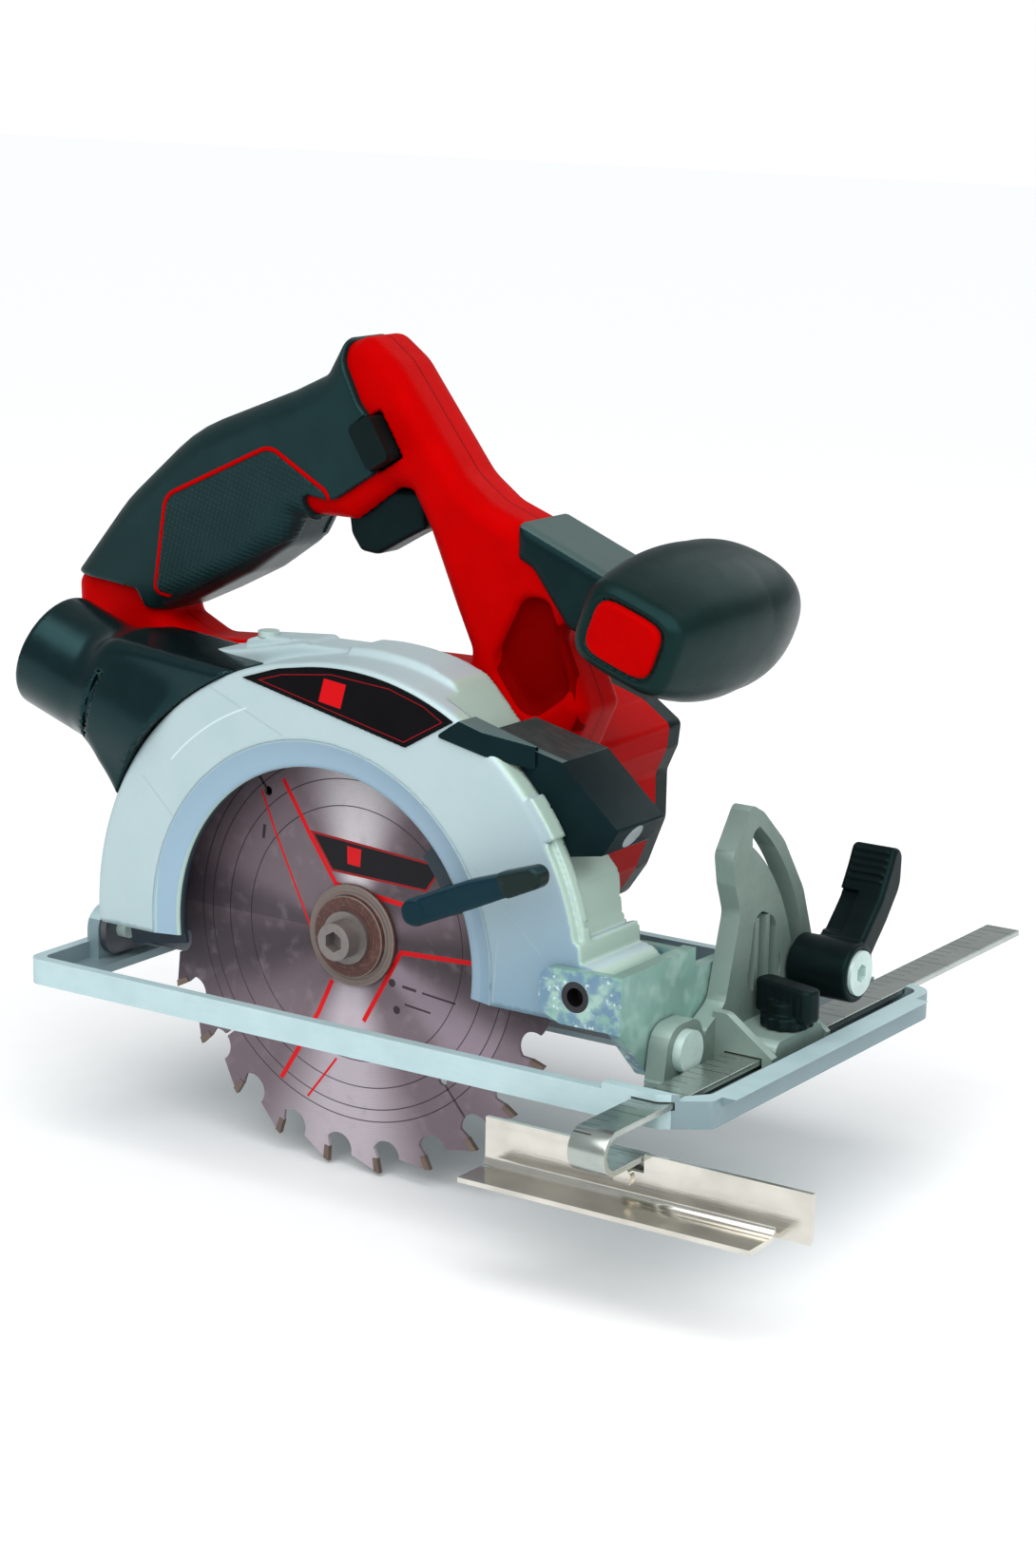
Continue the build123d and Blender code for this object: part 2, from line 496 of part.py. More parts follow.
# ---------------------------------------------------------------- guards
def upper_guard():
    """Cast guard: a drum open downwards, its outer face cut away in a round window."""
    outer = slab_y(stadium(GUARD_R), GUARD_Y0, GUARD_Y1)
    rim = outer.edges().filter_by(GeomType.CIRCLE) + outer.edges().filter_by(GeomType.LINE)
    outer = fillet([edge for edge in rim if abs(edge.center().Y - GUARD_Y0) < 0.1], 3.0)
    inside = slab_y(stadium(GUARD_R - GUARD_WALL), GUARD_Y0 + 3, GUARD_Y1 - 3)
    guard = outer - inside
    leg = slab_y(outline([
        (90, GUARD_BOTTOM - 1), (90, 44, 4), (107, 50), (112, 40), (112, GUARD_BOTTOM - 1)]), GUARD_Y0, GUARD_Y1)
    guard += leg & slab_y(stadium(GUARD_R), GUARD_Y0, GUARD_Y1)
    guard += rod_y(9.2, GUARD_Y0, GUARD_Y1, PIVOT_X, PIVOT_Z)
    guard -= rod_y(88.0, GUARD_Y0 + 3, GUARD_Y1 - 3)
    guard -= rod_y(WINDOW_R, GUARD_Y0 - 1, 0)
    dish = Plane(origin=(0, GUARD_Y0 - 0.01, SPINDLE_Z), z_dir=(0, 1, 0)) * Circle(WINDOW_RIM_R)
    guard -= extrude(dish, amount=2.9, taper=72)
    guard -= box(-120, PIVOT_X - 12, GUARD_Y0 - 1, GUARD_Y1 + 1, -80, GUARD_BOTTOM)
    guard -= box(-120, 120, GUARD_Y0 - 1, GUARD_Y1 + 1, -80, GUARD_BOTTOM - 0.5)
    guard -= rod_y(BOSS_R, GUARD_Y1 - 4, GUARD_Y1 + 1)
    guard -= rod_y(PIVOT_R + 0.05, GUARD_Y0 - 1, GUARD_Y1 + 1, PIVOT_X, PIVOT_Z)
    bolt = polar(DEPTH_ARC_R, DEPTH_START, (PIVOT_X, PIVOT_Z))
    guard -= rod_y(2.9, GUARD_Y1 - 4, GUARD_Y1 + 1, bolt[0], bolt[1])
    for place in GUARD_SCREWS:
        guard -= rod_y(2.0, GUARD_Y1 - 4, GUARD_Y1 + 1, place[0], place[1])
    return guard - port_bore(PORT_IN_R - 3)


def lower_guard():
    """Swinging guard: two side plates joined by a rim, on a hub round the gearbox boss."""
    span = sector(LOWER_R, LOWER_START, LOWER_END)
    rim = slab_y(span - Pos(0, SPINDLE_Z) * Circle(LOWER_R - 1.8), -14, 7.5)
    outer_side = slab_y(span - Pos(0, SPINDLE_Z) * Circle(62.0), -14, -12.5)
    inner_side = slab_y(span - Pos(0, SPINDLE_Z) * Circle(22.5), 6, 7.5)
    hub = ring_y(24.5, BOSS_R + 0.05, 6, 10.2)
    tongue_plan = ring_sector(70.0, 51.0, LOWER_START, LOWER_START + 24)
    tongue = slab_y(about(tongue_plan, 0, SPINDLE_Z), -14, -12.5)
    return rim + outer_side + inner_side + hub + tongue


def guard_lever():
    """Finger lever on the lower guard: a post, and an arm that reaches out past the guard's face."""
    face = outline([
        (51.8, -4.6, 4.2), (78, -5.6, 3), (105, -6.2, 3), (108.5, -0.5, 3), (80, 3.4, 3), (52, 4.4, 4.2)])
    arm = slab_y(about(Rot(0, 0, LEVER_ANGLE) * face, 0, SPINDLE_Z), LEVER_Y0, LEVER_Y1)
    root = polar(LEVER_ROOT_R, LEVER_ANGLE, (0, SPINDLE_Z))
    return arm + rod_y(LEVER_POST_R, LEVER_Y1, -14, root[0], root[1])


def guard_spring():
    """Torsion spring of the lower guard, round the hub."""
    return ring_y(28.0, 25.2, 8.2, 10.2)


# ---------------------------------------------------------------- blade and drive
def blade_tooth_points(angle):
    """Edge of the plate round one tooth: back, tip seat, front face; then the gullet's three points."""
    back = [polar(77.6, angle - 8.4), polar(81.6, angle - 1.6), polar(77.2, angle - 1.7)]
    face = [polar(77.2, angle - 0.3), polar(73.6, angle - 1.2)]
    gullet = [polar(73.6, angle - 1.2), polar(71.0, angle + 2.0), polar(77.6, angle + 6.6)]
    return back, face, gullet


def saw_blade():
    """Toothed steel disc with laser-cut expansion slots."""
    edges = []
    pitch = 360.0 / TEETH
    for tooth in range(TEETH):
        angle = FIRST_TOOTH + pitch * tooth
        back, face, gullet = blade_tooth_points(angle)
        edges.append(Polyline(*(back + face)))
        edges.append(ThreePointArc(*gullet))
    disc = slab_y(about(make_face(edges), 0, SPINDLE_Z), -PLATE_HALF, PLATE_HALF)
    disc -= rod_y(10.0, -2, 2)
    for slot in range(0, TEETH, TEETH // 4):
        angle = FIRST_TOOTH + pitch * slot + 2.0
        cut = about(Rot(0, 0, angle) * Pos(65, 0) * Rectangle(16, 1.0), 0, SPINDLE_Z)
        eye = polar(57, angle, (0, SPINDLE_Z))
        disc -= slab_y(cut, -2, 2) + rod_y(1.6, -2, 2, eye[0], eye[1])
    return disc


def carbide_tips():
    """Carbide tips brazed into the seats, a little wider than the plate."""
    tips = []
    for tooth in range(TEETH):
        angle = FIRST_TOOTH + 360.0 / TEETH * tooth
        face = outline([
            polar(77.22, angle - 1.66), polar(81.9, angle - 1.56), polar(BLADE_R, angle), polar(77.22, angle - 0.3)])
        tips.append(slab_y(about(face, 0, SPINDLE_Z), -TIP_HALF, TIP_HALF))
    return tips


def outer_flange():
    """Clamping flange with a raised edge."""
    flange = rod_y(17.5, -2.6, -PLATE_HALF) + rod_y(14.0, -4.6, -2.6)
    return flange - rod_y(4.0, -6, 0)


def blade_bolt():
    """Flanged bolt with a hexagon socket."""
    bolt = rod_y(9.0, -6.2, -4.6) + rod_y(6.4, -12.5, -6.2) + rod_y(4.0, -4.6, 14)
    return bolt - hex_y(3.6, -13, -8)


def inner_flange():
    """Flange behind the blade with the boss that centres the bore."""
    flange = rod_y(17.5, PLATE_HALF, 5.0) + rod_y(9.95, -PLATE_HALF + 0.1, PLATE_HALF)
    return flange - rod_y(7.5, -2, 6)


def spindle():
    """Stepped output shaft with the threaded end for the blade bolt."""
    shaft = rod_y(7.5, -0.4, 32) + rod_y(4.0, 32, 39)
    return shaft - rod_y(4.0, -1, 14)


def drive_gear():
    """Large gear on the spindle."""
    teeth = gear_outline(GEAR_TEETH, GEAR_MODULE, 0.12, MOTOR_DIR)
    return slab_y(about(teeth, 0, SPINDLE_Z), GEAR_Y0, GEAR_Y1) - rod_y(7.5, GEAR_Y0 - 1, GEAR_Y1 + 1)


def rotor_shaft():
    """Motor shaft with the pinion cut on its front end."""
    gap = MOTOR_DIR + 180 + 180 / PINION_TEETH
    teeth = gear_outline(PINION_TEETH, GEAR_MODULE, 0.12, gap)
    pinion = slab_y(about(teeth, MOTOR_X, MOTOR_Z), GEAR_Y0 - 0.5, GEAR_Y1 + 0.8)
    return pinion + rod_y(4.0, GEAR_Y1 + 0.8, 92, MOTOR_X, MOTOR_Z) + rod_y(2.5, 92, 98, MOTOR_X, MOTOR_Z)


def armature():
    """Laminated core with winding slots."""
    core = rod_y(16.0, 55, 80, MOTOR_X, MOTOR_Z)
    for slot in range(12):
        where = polar(14.6, slot * 30, (MOTOR_X, MOTOR_Z))
        core -= rod_y(1.8, 54, 81, where[0], where[1])
    return core - rod_y(4.0, 50, 90, MOTOR_X, MOTOR_Z)


def cooling_fan():
    """Radial fan behind the gearbox."""
    fan = ring_y(7.0, 4.0, 43, 51, MOTOR_X, MOTOR_Z) + ring_y(20.0, 6.0, 43, 44.5, MOTOR_X, MOTOR_Z)
    for blade in range(11):
        vane = about(Rot(0, 0, blade * 360 / 11) * Pos(12.5, 0) * Rectangle(14, 1.4), MOTOR_X, MOTOR_Z)
        fan += slab_y(vane, 44, 50.5)
    return fan


def commutator():
    """Copper commutator."""
    return ring_y(8.5, 4.0, 82, 91, MOTOR_X, MOTOR_Z)


def motor_can():
    """Steel motor can with end bell."""
    can = ring_y(22.0, 20.0, 53, 95, MOTOR_X, MOTOR_Z)
    return can + ring_y(20.5, BEARING_R, 92.5, 97.5, MOTOR_X, MOTOR_Z)


def motor_magnets():
    """Two arc magnets inside the can."""
    magnets = []
    for middle in (0, 180):
        face = about(ring_sector(20.0, 16.8, middle - 65, middle + 65), MOTOR_X, MOTOR_Z)
        magnets.append(slab_y(face, 54, 81))
    return magnets


def carbon_brushes():
    """Two brushes on the commutator."""
    brushes = []
    for side in (-1, 1):
        x0, x1 = sorted((MOTOR_X + side * 8.9, MOTOR_X + side * 19.5))
        brushes.append(box(x0, x1, 83.5, 89.5, MOTOR_Z - 3, MOTOR_Z + 3))
    return brushes


def ball_bearings():
    """Bearings of the spindle and of the motor shaft; rings of one size pair for each seat."""
    seats = (
        (16.0, 7.55, 13.9, 22.5, 0.0, SPINDLE_Z), (11.0, 4.05, 32.3, 39.0, 0.0, SPINDLE_Z),
        (11.0, 4.05, 34.0, 41.0, MOTOR_X, MOTOR_Z), (BEARING_R, 2.55, 93.0, 97.5, MOTOR_X, MOTOR_Z))
    return [ring_y(outer, inner, y0, y1, x, z) for outer, inner, y0, y1, x, z in seats]


def gearbox_cover():
    """Bearing plate of the gearbox; its boss carries the lower guard."""
    cover = slab_y(capsule((0, SPINDLE_Z), GEARBOX_R, (MOTOR_X, MOTOR_Z), 14), GEARBOX_Y0, 22.5)
    for x, z in GUARD_SCREWS[:2]:
        cover += slab_y(capsule((x, z), 6.5, (0, SPINDLE_Z - 4), 8), GEARBOX_Y0, 22.5)
    for x, z in GUARD_SCREWS:
        cover -= rod_y(2.0, GEARBOX_Y0 - 1, GEARBOX_Y0 + 6, x, z)
    cover += rod_y(BOSS_R, 5.6, GEARBOX_Y0)
    cover -= rod_y(18.3, 5, 13.9) + rod_y(16.0, 13, 23)
    return cover


def gear_housing():
    """Gearbox cup with the rear spindle seat and the front motor seat."""
    housing = slab_y(capsule((0, SPINDLE_Z), GEARBOX_R, (MOTOR_X, MOTOR_Z), 14), 22.5, GEARBOX_Y1)
    housing += slab_y(about(outline([(-30, -20, 6), (34, -20, 6), (40, 20, 6), (20, 36, 8), (-28, 34, 8)]),
                            MOTOR_X, MOTOR_Z + 4), 34.5, GEARBOX_Y1)
    housing -= rod_y(23.0, 22, 32) + rod_y(8.0, 22, 33, MOTOR_X, MOTOR_Z)
    housing -= rod_y(11.0, 32, 39) + rod_y(11.0, 34, 42, MOTOR_X, MOTOR_Z)
    housing -= rod_y(8.0, 32, 35, MOTOR_X, MOTOR_Z)
    boss = rod_x(6.0, GEARBOX_R - 4, GEARBOX_R + 10, LOCK_Y, SPINDLE_Z)
    housing += boss - rod_y(23.0, 20, 40)
    return housing - rod_x(LOCK_R + 0.05, 20, GEARBOX_R + 12, LOCK_Y, SPINDLE_Z)


def spindle_lock_button():
    """Push button in front of the gearbox; pressed, its pin reaches in to the gear's rim."""
    pin = rod_x(LOCK_R, 26.2, GEARBOX_R + 14, LOCK_Y, SPINDLE_Z)
    return pin + rod_x(6.0, GEARBOX_R + 14, GEARBOX_R + 20, LOCK_Y, SPINDLE_Z)


# ---------------------------------------------------------------- motor housing and handle


def motor_profile():
    """Faceted section of the motor housing in (x, z)."""
    return outline([
        (-15, 107, 8), (36, 105, 10), (52, 100, 6), (63, 92.5, 3), (62, 84, 3), (58, 75, 6), (58, 58, 8),
        (51, 40, 8), (42, 27, 8), (-7, 26, 8), (-20, 45, 8), (-22, 90, 10)])


def motor_housing():
    """Motor housing with a rib that centres the can."""
    profile = motor_profile()
    inner = offset(profile, -SHELL_WALL)
    housing = slab_y(profile, GEARBOX_Y1, COVER_Y) - slab_y(inner, GEARBOX_Y1 - 1, COVER_Y + 1)
    rib = slab_y(offset(profile, -SHELL_WALL + 0.5), 70, 73) - rod_y(22.0, 60, 80, MOTOR_X, MOTOR_Z)
    housing += rib
    for vent in range(5):
        housing -= box(-8 + 9 * vent, -4 + 9 * vent, 78, 92, 100, 115)
    return housing


def motor_end_cover():
    """Black cap over the brush end, with cooling slots."""
    outer = slab_y(motor_profile(), COVER_Y, END_Y)
    far_edges = [edge for edge in outer.edges() if abs(edge.center().Y - END_Y) < 0.1]
    cover = chamfer(far_edges, 2.5) - slab_y(offset(motor_profile(), -SHELL_WALL), COVER_Y - 1, END_Y - 2.5)
    for vent in range(5):
        cover -= box(4 + 7 * vent, 7 + 7 * vent, END_Y - 5, END_Y + 1, 76, 92)
    return cover


def handle_profile():
    """Outer edge of the D-handle, its web and the front arm in (x, z)."""
    return outline([
        (-137, 106, 6), (-138, 131, 6), (-113, 161, 60), (-83, 187, 60), (-42, 203, 30), (-27, 210, 8),
        (-20, 222, 5), (-12, 225, 6), (-1, 217, 16), (26, 182, 20), (37, 174, 12), (52, 168.5), (93, 152),
        (93, 139), (63, 139, 6), (76, 111, 4), (68, 93), (-20, 93), (-60, 98, 20), (-100, 104)])


def finger_profile():
    """Finger opening of the D-handle in (x, z)."""
    return outline([
        (-90, 125, 5), (-80, 133, 20), (-62, 142, 20), (-46, 153, 12), (-40, 163, 3), (9, 164, 4), (24, 139, 20),
        (33, 120, 5), (-50, 119, 10), (-80, 118, 6)])


def grip_zone():
    """Region of the handle that the rubber covers, in (x, z)."""
    return outline([
        (-160, 136), (-160, 240), (-20, 240), (-19, 217), (-12, 203), (3, 187), (-6, 180), (-22, 170),
        (-36, 172), (-30, 150), (-70, 120), (-88, 120), (-94, 129)])


def trigger_slot():
    """Opening in the grip's underside for the trigger."""
    return box(-24, 7.5, HANDLE_Y - 6.6, HANDLE_Y + 6.6, 158, 172)


def handle_screws():
    """Screws along the seam of the handle shells, driven from the motor side."""
    screws = []
    for x, z in HANDLE_SCREWS:
        head = rod_y(3.4, HANDLE_Y + HANDLE_HALF - 4, HANDLE_Y + HANDLE_HALF - 1.5, x, z)
        screws.append(head + rod_y(1.6, HANDLE_Y - 6, HANDLE_Y + HANDLE_HALF - 4, x, z))
    return screws


def handle_shell(y_outer):
    """One half of the handle: outer face at y_outer, open at the parting plane."""
    y_low, y_high = sorted((y_outer, HANDLE_Y))
    body = slab_y(handle_profile() - finger_profile(), y_low, y_high)
    hollow_face = offset(handle_profile(), -SHELL_WALL) - offset(finger_profile(), SHELL_WALL)
    deep_low = y_low + SHELL_WALL if y_outer < HANDLE_Y else y_low - 1
    deep_high = y_high + 1 if y_outer < HANDLE_Y else y_high - SHELL_WALL
    shell = body - slab_y(hollow_face, deep_low, deep_high)
    for x, z in HANDLE_SCREWS:
        shell += rod_y(4.6, y_low, y_high, x, z)
    shell -= Compound(handle_screws())
    for x, z in HANDLE_SCREWS:
        shell -= rod_y(3.4, HANDLE_Y + HANDLE_HALF - 4, HANDLE_Y + HANDLE_HALF + 1, x, z)
    shell -= trigger_slot()
    shell -= lock_off_block(0.3, y_low - 1, y_high + 1)
    shell -= slab_y(motor_profile(), GEARBOX_Y1, 60)
    return shell


def lock_off_block(gap, y0, y1):
    """Rounded block along Y at the lock-off button's place, grown by a gap."""
    wide, high = 5.0 + gap, 8.0 + gap
    face = outline([(-wide, -high, 2), (wide, -high, 2), (wide, high, 2), (-wide, high, 2)])
    return slab_y(about(Rot(0, 0, -LOCK_OFF_TILT) * face, LOCK_OFF_X, LOCK_OFF_Z), y0, y1)


def grip_cover():
    """Soft cover moulded round the rear grip."""
    skin = offset(handle_profile(), 1.6) - offset(finger_profile(), -1.6)
    cover = slab_y(skin & grip_zone(), HANDLE_Y - GRIP_HALF, HANDLE_Y + GRIP_HALF)
    cover -= slab_y(handle_profile() - finger_profile(), HANDLE_Y - HANDLE_HALF, HANDLE_Y + HANDLE_HALF)
    return cover - lock_off_block(0.5, 0, 60) - trigger_slot()


def grip_panels():
    """Textured pads let into both sides of the cover."""
    face = outline([
        (-98, 131, 3), (-93, 165, 8), (-48, 186, 8), (-21, 171, 4), (-33, 159, 8), (-62, 143, 8), (-88, 129, 8)])
    near = slab_y(face, HANDLE_Y - GRIP_HALF - 0.8, HANDLE_Y - GRIP_HALF)
    far = slab_y(face, HANDLE_Y + GRIP_HALF, HANDLE_Y + GRIP_HALF + 0.8)
    return [near, far]


def trigger():
    """Trigger blade with a finger hollow."""
    face = outline([(-23, TRIGGER_TOP), (-23, 155, 3), (-15, 150, 8), (3, 156, 4), (6.5, TRIGGER_TOP)])
    return slab_y(face, HANDLE_Y - 6, HANDLE_Y + 6)


def trigger_spring():
    """Return spring between the trigger and the switch, drawn as a plain tube."""
    return Pos(-18, HANDLE_Y, TRIGGER_TOP) * extrude(Circle(2.6) - Circle(1.8), amount=SWITCH_FOOT - TRIGGER_TOP)


def trigger_switch():
    """Switch module above the trigger."""
    face = outline([(-30, SWITCH_FOOT), (-32, 194, 2), (-22, 203, 2), (-14, 203, 2), (6, SWITCH_FOOT)])
    body = slab_y(face, 22, 40)
    return body - lock_off_block(0.5, 0, 60)


def lock_off_button():
    """Button across the grip that frees the trigger."""
    return lock_off_block(0.0, HANDLE_Y - GRIP_HALF - 3.5, HANDLE_Y + GRIP_HALF - 4.0)


def control_board():
    """Speed control board in the web of the handle."""
    return box(-10, 45, 24, 26, 97, 115)


def front_arm_sleeve():
    """Black faceted sleeve round the front arm."""
    face = outline([(54, 171, 2), (94, 155), (94, 136), (70, 136, 2), (56, 157, 2)])
    sleeve = slab_y(face, HANDLE_Y - SLEEVE_HALF, HANDLE_Y + SLEEVE_HALF)
    return sleeve - slab_y(handle_profile(), HANDLE_Y - HANDLE_HALF, HANDLE_Y + HANDLE_HALF)


def front_knob():
    """Barrel-shaped front grip lying across the saw."""
    half = Spline((KNOB_END_R, KNOB_HALF), (KNOB_R, 6), (KNOB_END_R, -KNOB_HALF))
    section = make_face([
        Line((0, KNOB_HALF), (KNOB_END_R, KNOB_HALF)), half, Line((KNOB_END_R, -KNOB_HALF), (0, -KNOB_HALF)),
        Line((0, -KNOB_HALF), (0, KNOB_HALF))])
    axis_plane = Plane(origin=(KNOB_X, KNOB_Y, KNOB_Z), x_dir=(0, 0, 1), z_dir=(-1, 0, 0))
    knob = revolve(axis_plane * section, Axis((KNOB_X, KNOB_Y, KNOB_Z), (0, 1, 0)))
    ends = [edge for edge in knob.edges() if abs(abs(edge.center().Y - KNOB_Y) - KNOB_HALF) < 0.1]
    knob = fillet(ends, 6.0)
    for y in (KNOB_Y - KNOB_HALF, KNOB_Y + KNOB_HALF):
        knob -= rod_y(INSET_R, y - 1.5, y + 1.5, KNOB_X, KNOB_Z)
    return knob - box(80, 94, HANDLE_Y - SLEEVE_HALF, HANDLE_Y + SLEEVE_HALF, 130, 168)


def knob_insets():
    """Coloured caps in both ends of the front grip."""
    near = rod_y(INSET_R, KNOB_Y - KNOB_HALF - 0.3, KNOB_Y - KNOB_HALF + 1.5, KNOB_X, KNOB_Z)
    far = rod_y(INSET_R, KNOB_Y + KNOB_HALF - 1.5, KNOB_Y + KNOB_HALF + 0.3, KNOB_X, KNOB_Z)
    return [near, far]


# ---------------------------------------------------------------- lamp, dust port, label, battery shoe


def lamp_profile():
    """Faceted side of the lamp housing in (x, z)."""
    return outline([
        (42, 106), (51, 111, 1), (89, 102.5, 1), (110.5, 83.5, 1), (105, 75, 1), (88, 72), (80, 86), (60, 100)])


def led_housing():
    """Faceted lamp housing over the front of the guard, hollow behind its lens."""
    lamp = slab_y(lamp_profile(), LAMP_Y0, LAMP_Y1) - slab_y(offset(lamp_profile(), -2.5), LAMP_Y0 + 2.5, LAMP_Y1 - 2.5)
    return lamp - slab_y(stadium(GUARD_R), GUARD_Y0 - 4, GUARD_Y1 + 1) - lens_disc()


def lens_disc():
    """Disc in the slanted lower front face of the lamp housing."""
    return extrude(Plane(origin=(108.0, -1.0, 79.0), z_dir=(0.84, 0, -0.54)) * Circle(4.5), amount=1.6, both=True)


def led_lens():
    """Clear lens of the work light."""
    return lens_disc() & slab_y(lamp_profile(), LAMP_Y0, LAMP_Y1)


def port_axis_plane():
    """Plane across the dust port's axis at the hose end, facing out of the port."""
    turn = math.radians(PORT_RISE)
    return Plane(origin=PORT_END, z_dir=(-math.cos(turn), 0, math.sin(turn)))


def port_bore(radius):
    """Straight channel along the port's axis, from the hose end into the guard."""
    return extrude(port_axis_plane() * Circle(radius), amount=-75) + extrude(
        port_axis_plane() * Circle(radius), amount=5)


def dust_port():
    """Hose socket that flares into a foot on the guard's rear shoulder."""
    tube = extrude(port_axis_plane() * Circle(PORT_OUT_R), amount=-PORT_LENGTH)
    foot_face = outline([
        (-99, 90, 8), (-94, 78, 5), (-86, 66, 3), (-60, 70), (-38, 100), (-30, 123.5, 2), (-44, 124, 10),
        (-62, 120, 15), (-90, 122, 8)])
    foot = slab_y(foot_face, GUARD_Y0, GUARD_Y1)
    clear = slab_y(stadium(GUARD_R), GUARD_Y0 - 4, GUARD_Y1 + 4)
    bore = extrude(port_axis_plane() * Circle(PORT_IN_R), amount=-PORT_LENGTH)
    port = (tube + foot) - clear - bore - port_bore(PORT_IN_R - 3)
    return port - rod_z(2.0, 100, 130, PORT_SCREW_X, PORT_SCREW_Y)


def guard_screws():
    """Screws from the guard into the gearbox, and the one through the port's tab."""
    screws = []
    for x, z in GUARD_SCREWS:
        screws.append(rod_y(3.4, GUARD_Y1 - 4.6, GUARD_Y1 - 3, x, z) + rod_y(2.0, GUARD_Y1 - 3, GEARBOX_Y0 + 5, x, z))
    port_screw = rod_z(2.0, 119.6, 124, PORT_SCREW_X, PORT_SCREW_Y)
    screws.append(port_screw + rod_z(3.6, 124, 126, PORT_SCREW_X, PORT_SCREW_Y))
    return screws


def label_plate():
    """Crescent plate on the guard's face."""
    lower_edge = Pos(4, 10) * Circle(97.5)
    face = (stadium(GUARD_R - 3.5) & outline([(-34, 100), (-34, 130), (30, 132), (57, 116), (44, 96, 2)])) - lower_edge
    return slab_y(face, GUARD_Y0 - 0.6, GUARD_Y0)


def battery_shoe():
    """Slide-on battery mount under the rear of the handle: block, two rails and latch notches."""
    block = box(-138, -72, HANDLE_Y - 11.5, HANDLE_Y + 11.5, 88, 98)
    rails = box(-138, -78, HANDLE_Y - SHOE_HALF, HANDLE_Y + SHOE_HALF, 84, 88)
    neck = outline([(-138, 97), (-138, 104), (-100, 104), (-66, 99.5), (-66, 97)])
    shoe = block + rails + slab_y(neck, HANDLE_Y - 11.5, HANDLE_Y + 11.5)
    shoe -= slab_y(handle_profile(), 10, 60)
    shoe -= box(-141, -92, HANDLE_Y - 8, HANDLE_Y + 8, 83, 92)
    for y in TERMINAL_YS:
        shoe -= box(-94, -80, y - 0.6, y + 0.6, 85, 93)
    for side in (-1, 1):
        y0, y1 = sorted((HANDLE_Y + side * (SHOE_HALF - 3), HANDLE_Y + side * (SHOE_HALF + 1)))
        shoe -= box(-126, -116, y0, y1, 80, 90)
    return shoe


def battery_terminals():
    """Three contact blades of the battery mount."""
    return [box(-108, -82, y - 0.4, y + 0.4, 85.4, 91.2) for y in TERMINAL_YS]


PARTS = {
    "base_plate": base_plate,
    "front_casting": front_casting,
    "bevel_pivot_pins": bevel_pivot_pins,
    "casting_screws": casting_screws,
    "guide_clamp_knob": guide_clamp_knob,
    "guide_bar": guide_bar,
    "guide_fence": guide_fence,
    "guide_rivet": guide_rivet,
    "pivot_bracket": pivot_bracket,
    "depth_pivot_pin": depth_pivot_pin,
    "depth_guide": depth_guide,
    "bevel_bolt": bevel_bolt,
    "bevel_lever": bevel_lever,
    "bevel_lever_screw": bevel_lever_screw,
    "depth_bolt": depth_bolt,
    "depth_lever": depth_lever,
    "upper_guard": upper_guard,
    "lower_guard": lower_guard,
    "guard_lever": guard_lever,
    "guard_spring": guard_spring,
    "saw_blade": saw_blade,
    "carbide_tips": carbide_tips,
    "outer_flange": outer_flange,
    "blade_bolt": blade_bolt,
    "inner_flange": inner_flange,
    "spindle": spindle,
    "drive_gear": drive_gear,
    "rotor_shaft": rotor_shaft,
    "armature": armature,
    "cooling_fan": cooling_fan,
    "commutator": commutator,
    "motor_can": motor_can,
    "motor_magnets": motor_magnets,
    "carbon_brushes": carbon_brushes,
    "ball_bearings": ball_bearings,
    "gearbox_cover": gearbox_cover,
    "gear_housing": gear_housing,
    "spindle_lock_button": spindle_lock_button,
    "motor_housing": motor_housing,
    "motor_end_cover": motor_end_cover,
    "handle_shell_right": lambda: handle_shell(HANDLE_Y - HANDLE_HALF),
    "handle_shell_left": lambda: handle_shell(HANDLE_Y + HANDLE_HALF),
    "handle_screws": handle_screws,
    "grip_cover": grip_cover,
    "grip_panels": grip_panels,
    "trigger": trigger,
    "trigger_spring": trigger_spring,
    "trigger_switch": trigger_switch,
    "lock_off_button": lock_off_button,
    "control_board": control_board,
    "front_arm_sleeve": front_arm_sleeve,
    "front_knob": front_knob,
    "knob_insets": knob_insets,
    "led_housing": led_housing,
    "led_lens": led_lens,
    "dust_port": dust_port,
    "guard_screws": guard_screws,
    "label_plate": label_plate,
    "battery_shoe": battery_shoe,
    "battery_terminals": battery_terminals,
}

os.makedirs("parts", exist_ok=True)
for node, make in PARTS.items():
    shape = make()
    if isinstance(shape, list):
        shape = Compound(shape)
    export_step(shape, f"parts/{node}.step")
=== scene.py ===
"""Looks of a cordless circular saw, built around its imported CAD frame.

Shapes are worked out in millimetres, in the row's frame: +X is the cutting direction, +Y points to
the motor side, +Z is up, and the origin is on the sole below the spindle. Moulded pieces are the zero
surfaces of distance fields, so that their edges and fillets are round.
"""
import json
import math
from functools import reduce

import bpy
import numpy as np
from mathutils import Matrix, Vector


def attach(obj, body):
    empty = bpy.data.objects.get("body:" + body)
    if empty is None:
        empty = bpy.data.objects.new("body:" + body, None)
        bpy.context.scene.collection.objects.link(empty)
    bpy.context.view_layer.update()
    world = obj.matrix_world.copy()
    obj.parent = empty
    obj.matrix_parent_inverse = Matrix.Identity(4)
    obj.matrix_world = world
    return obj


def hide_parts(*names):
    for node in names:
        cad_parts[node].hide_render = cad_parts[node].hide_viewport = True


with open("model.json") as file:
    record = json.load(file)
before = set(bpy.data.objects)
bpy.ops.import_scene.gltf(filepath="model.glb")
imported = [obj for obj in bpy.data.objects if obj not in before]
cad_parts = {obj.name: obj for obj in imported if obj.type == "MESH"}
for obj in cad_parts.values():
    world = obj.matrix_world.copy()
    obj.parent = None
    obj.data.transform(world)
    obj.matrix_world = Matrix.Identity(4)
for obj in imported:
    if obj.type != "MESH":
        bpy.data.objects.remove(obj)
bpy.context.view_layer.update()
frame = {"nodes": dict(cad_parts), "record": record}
NODES = frame["nodes"]
MM = 0.001
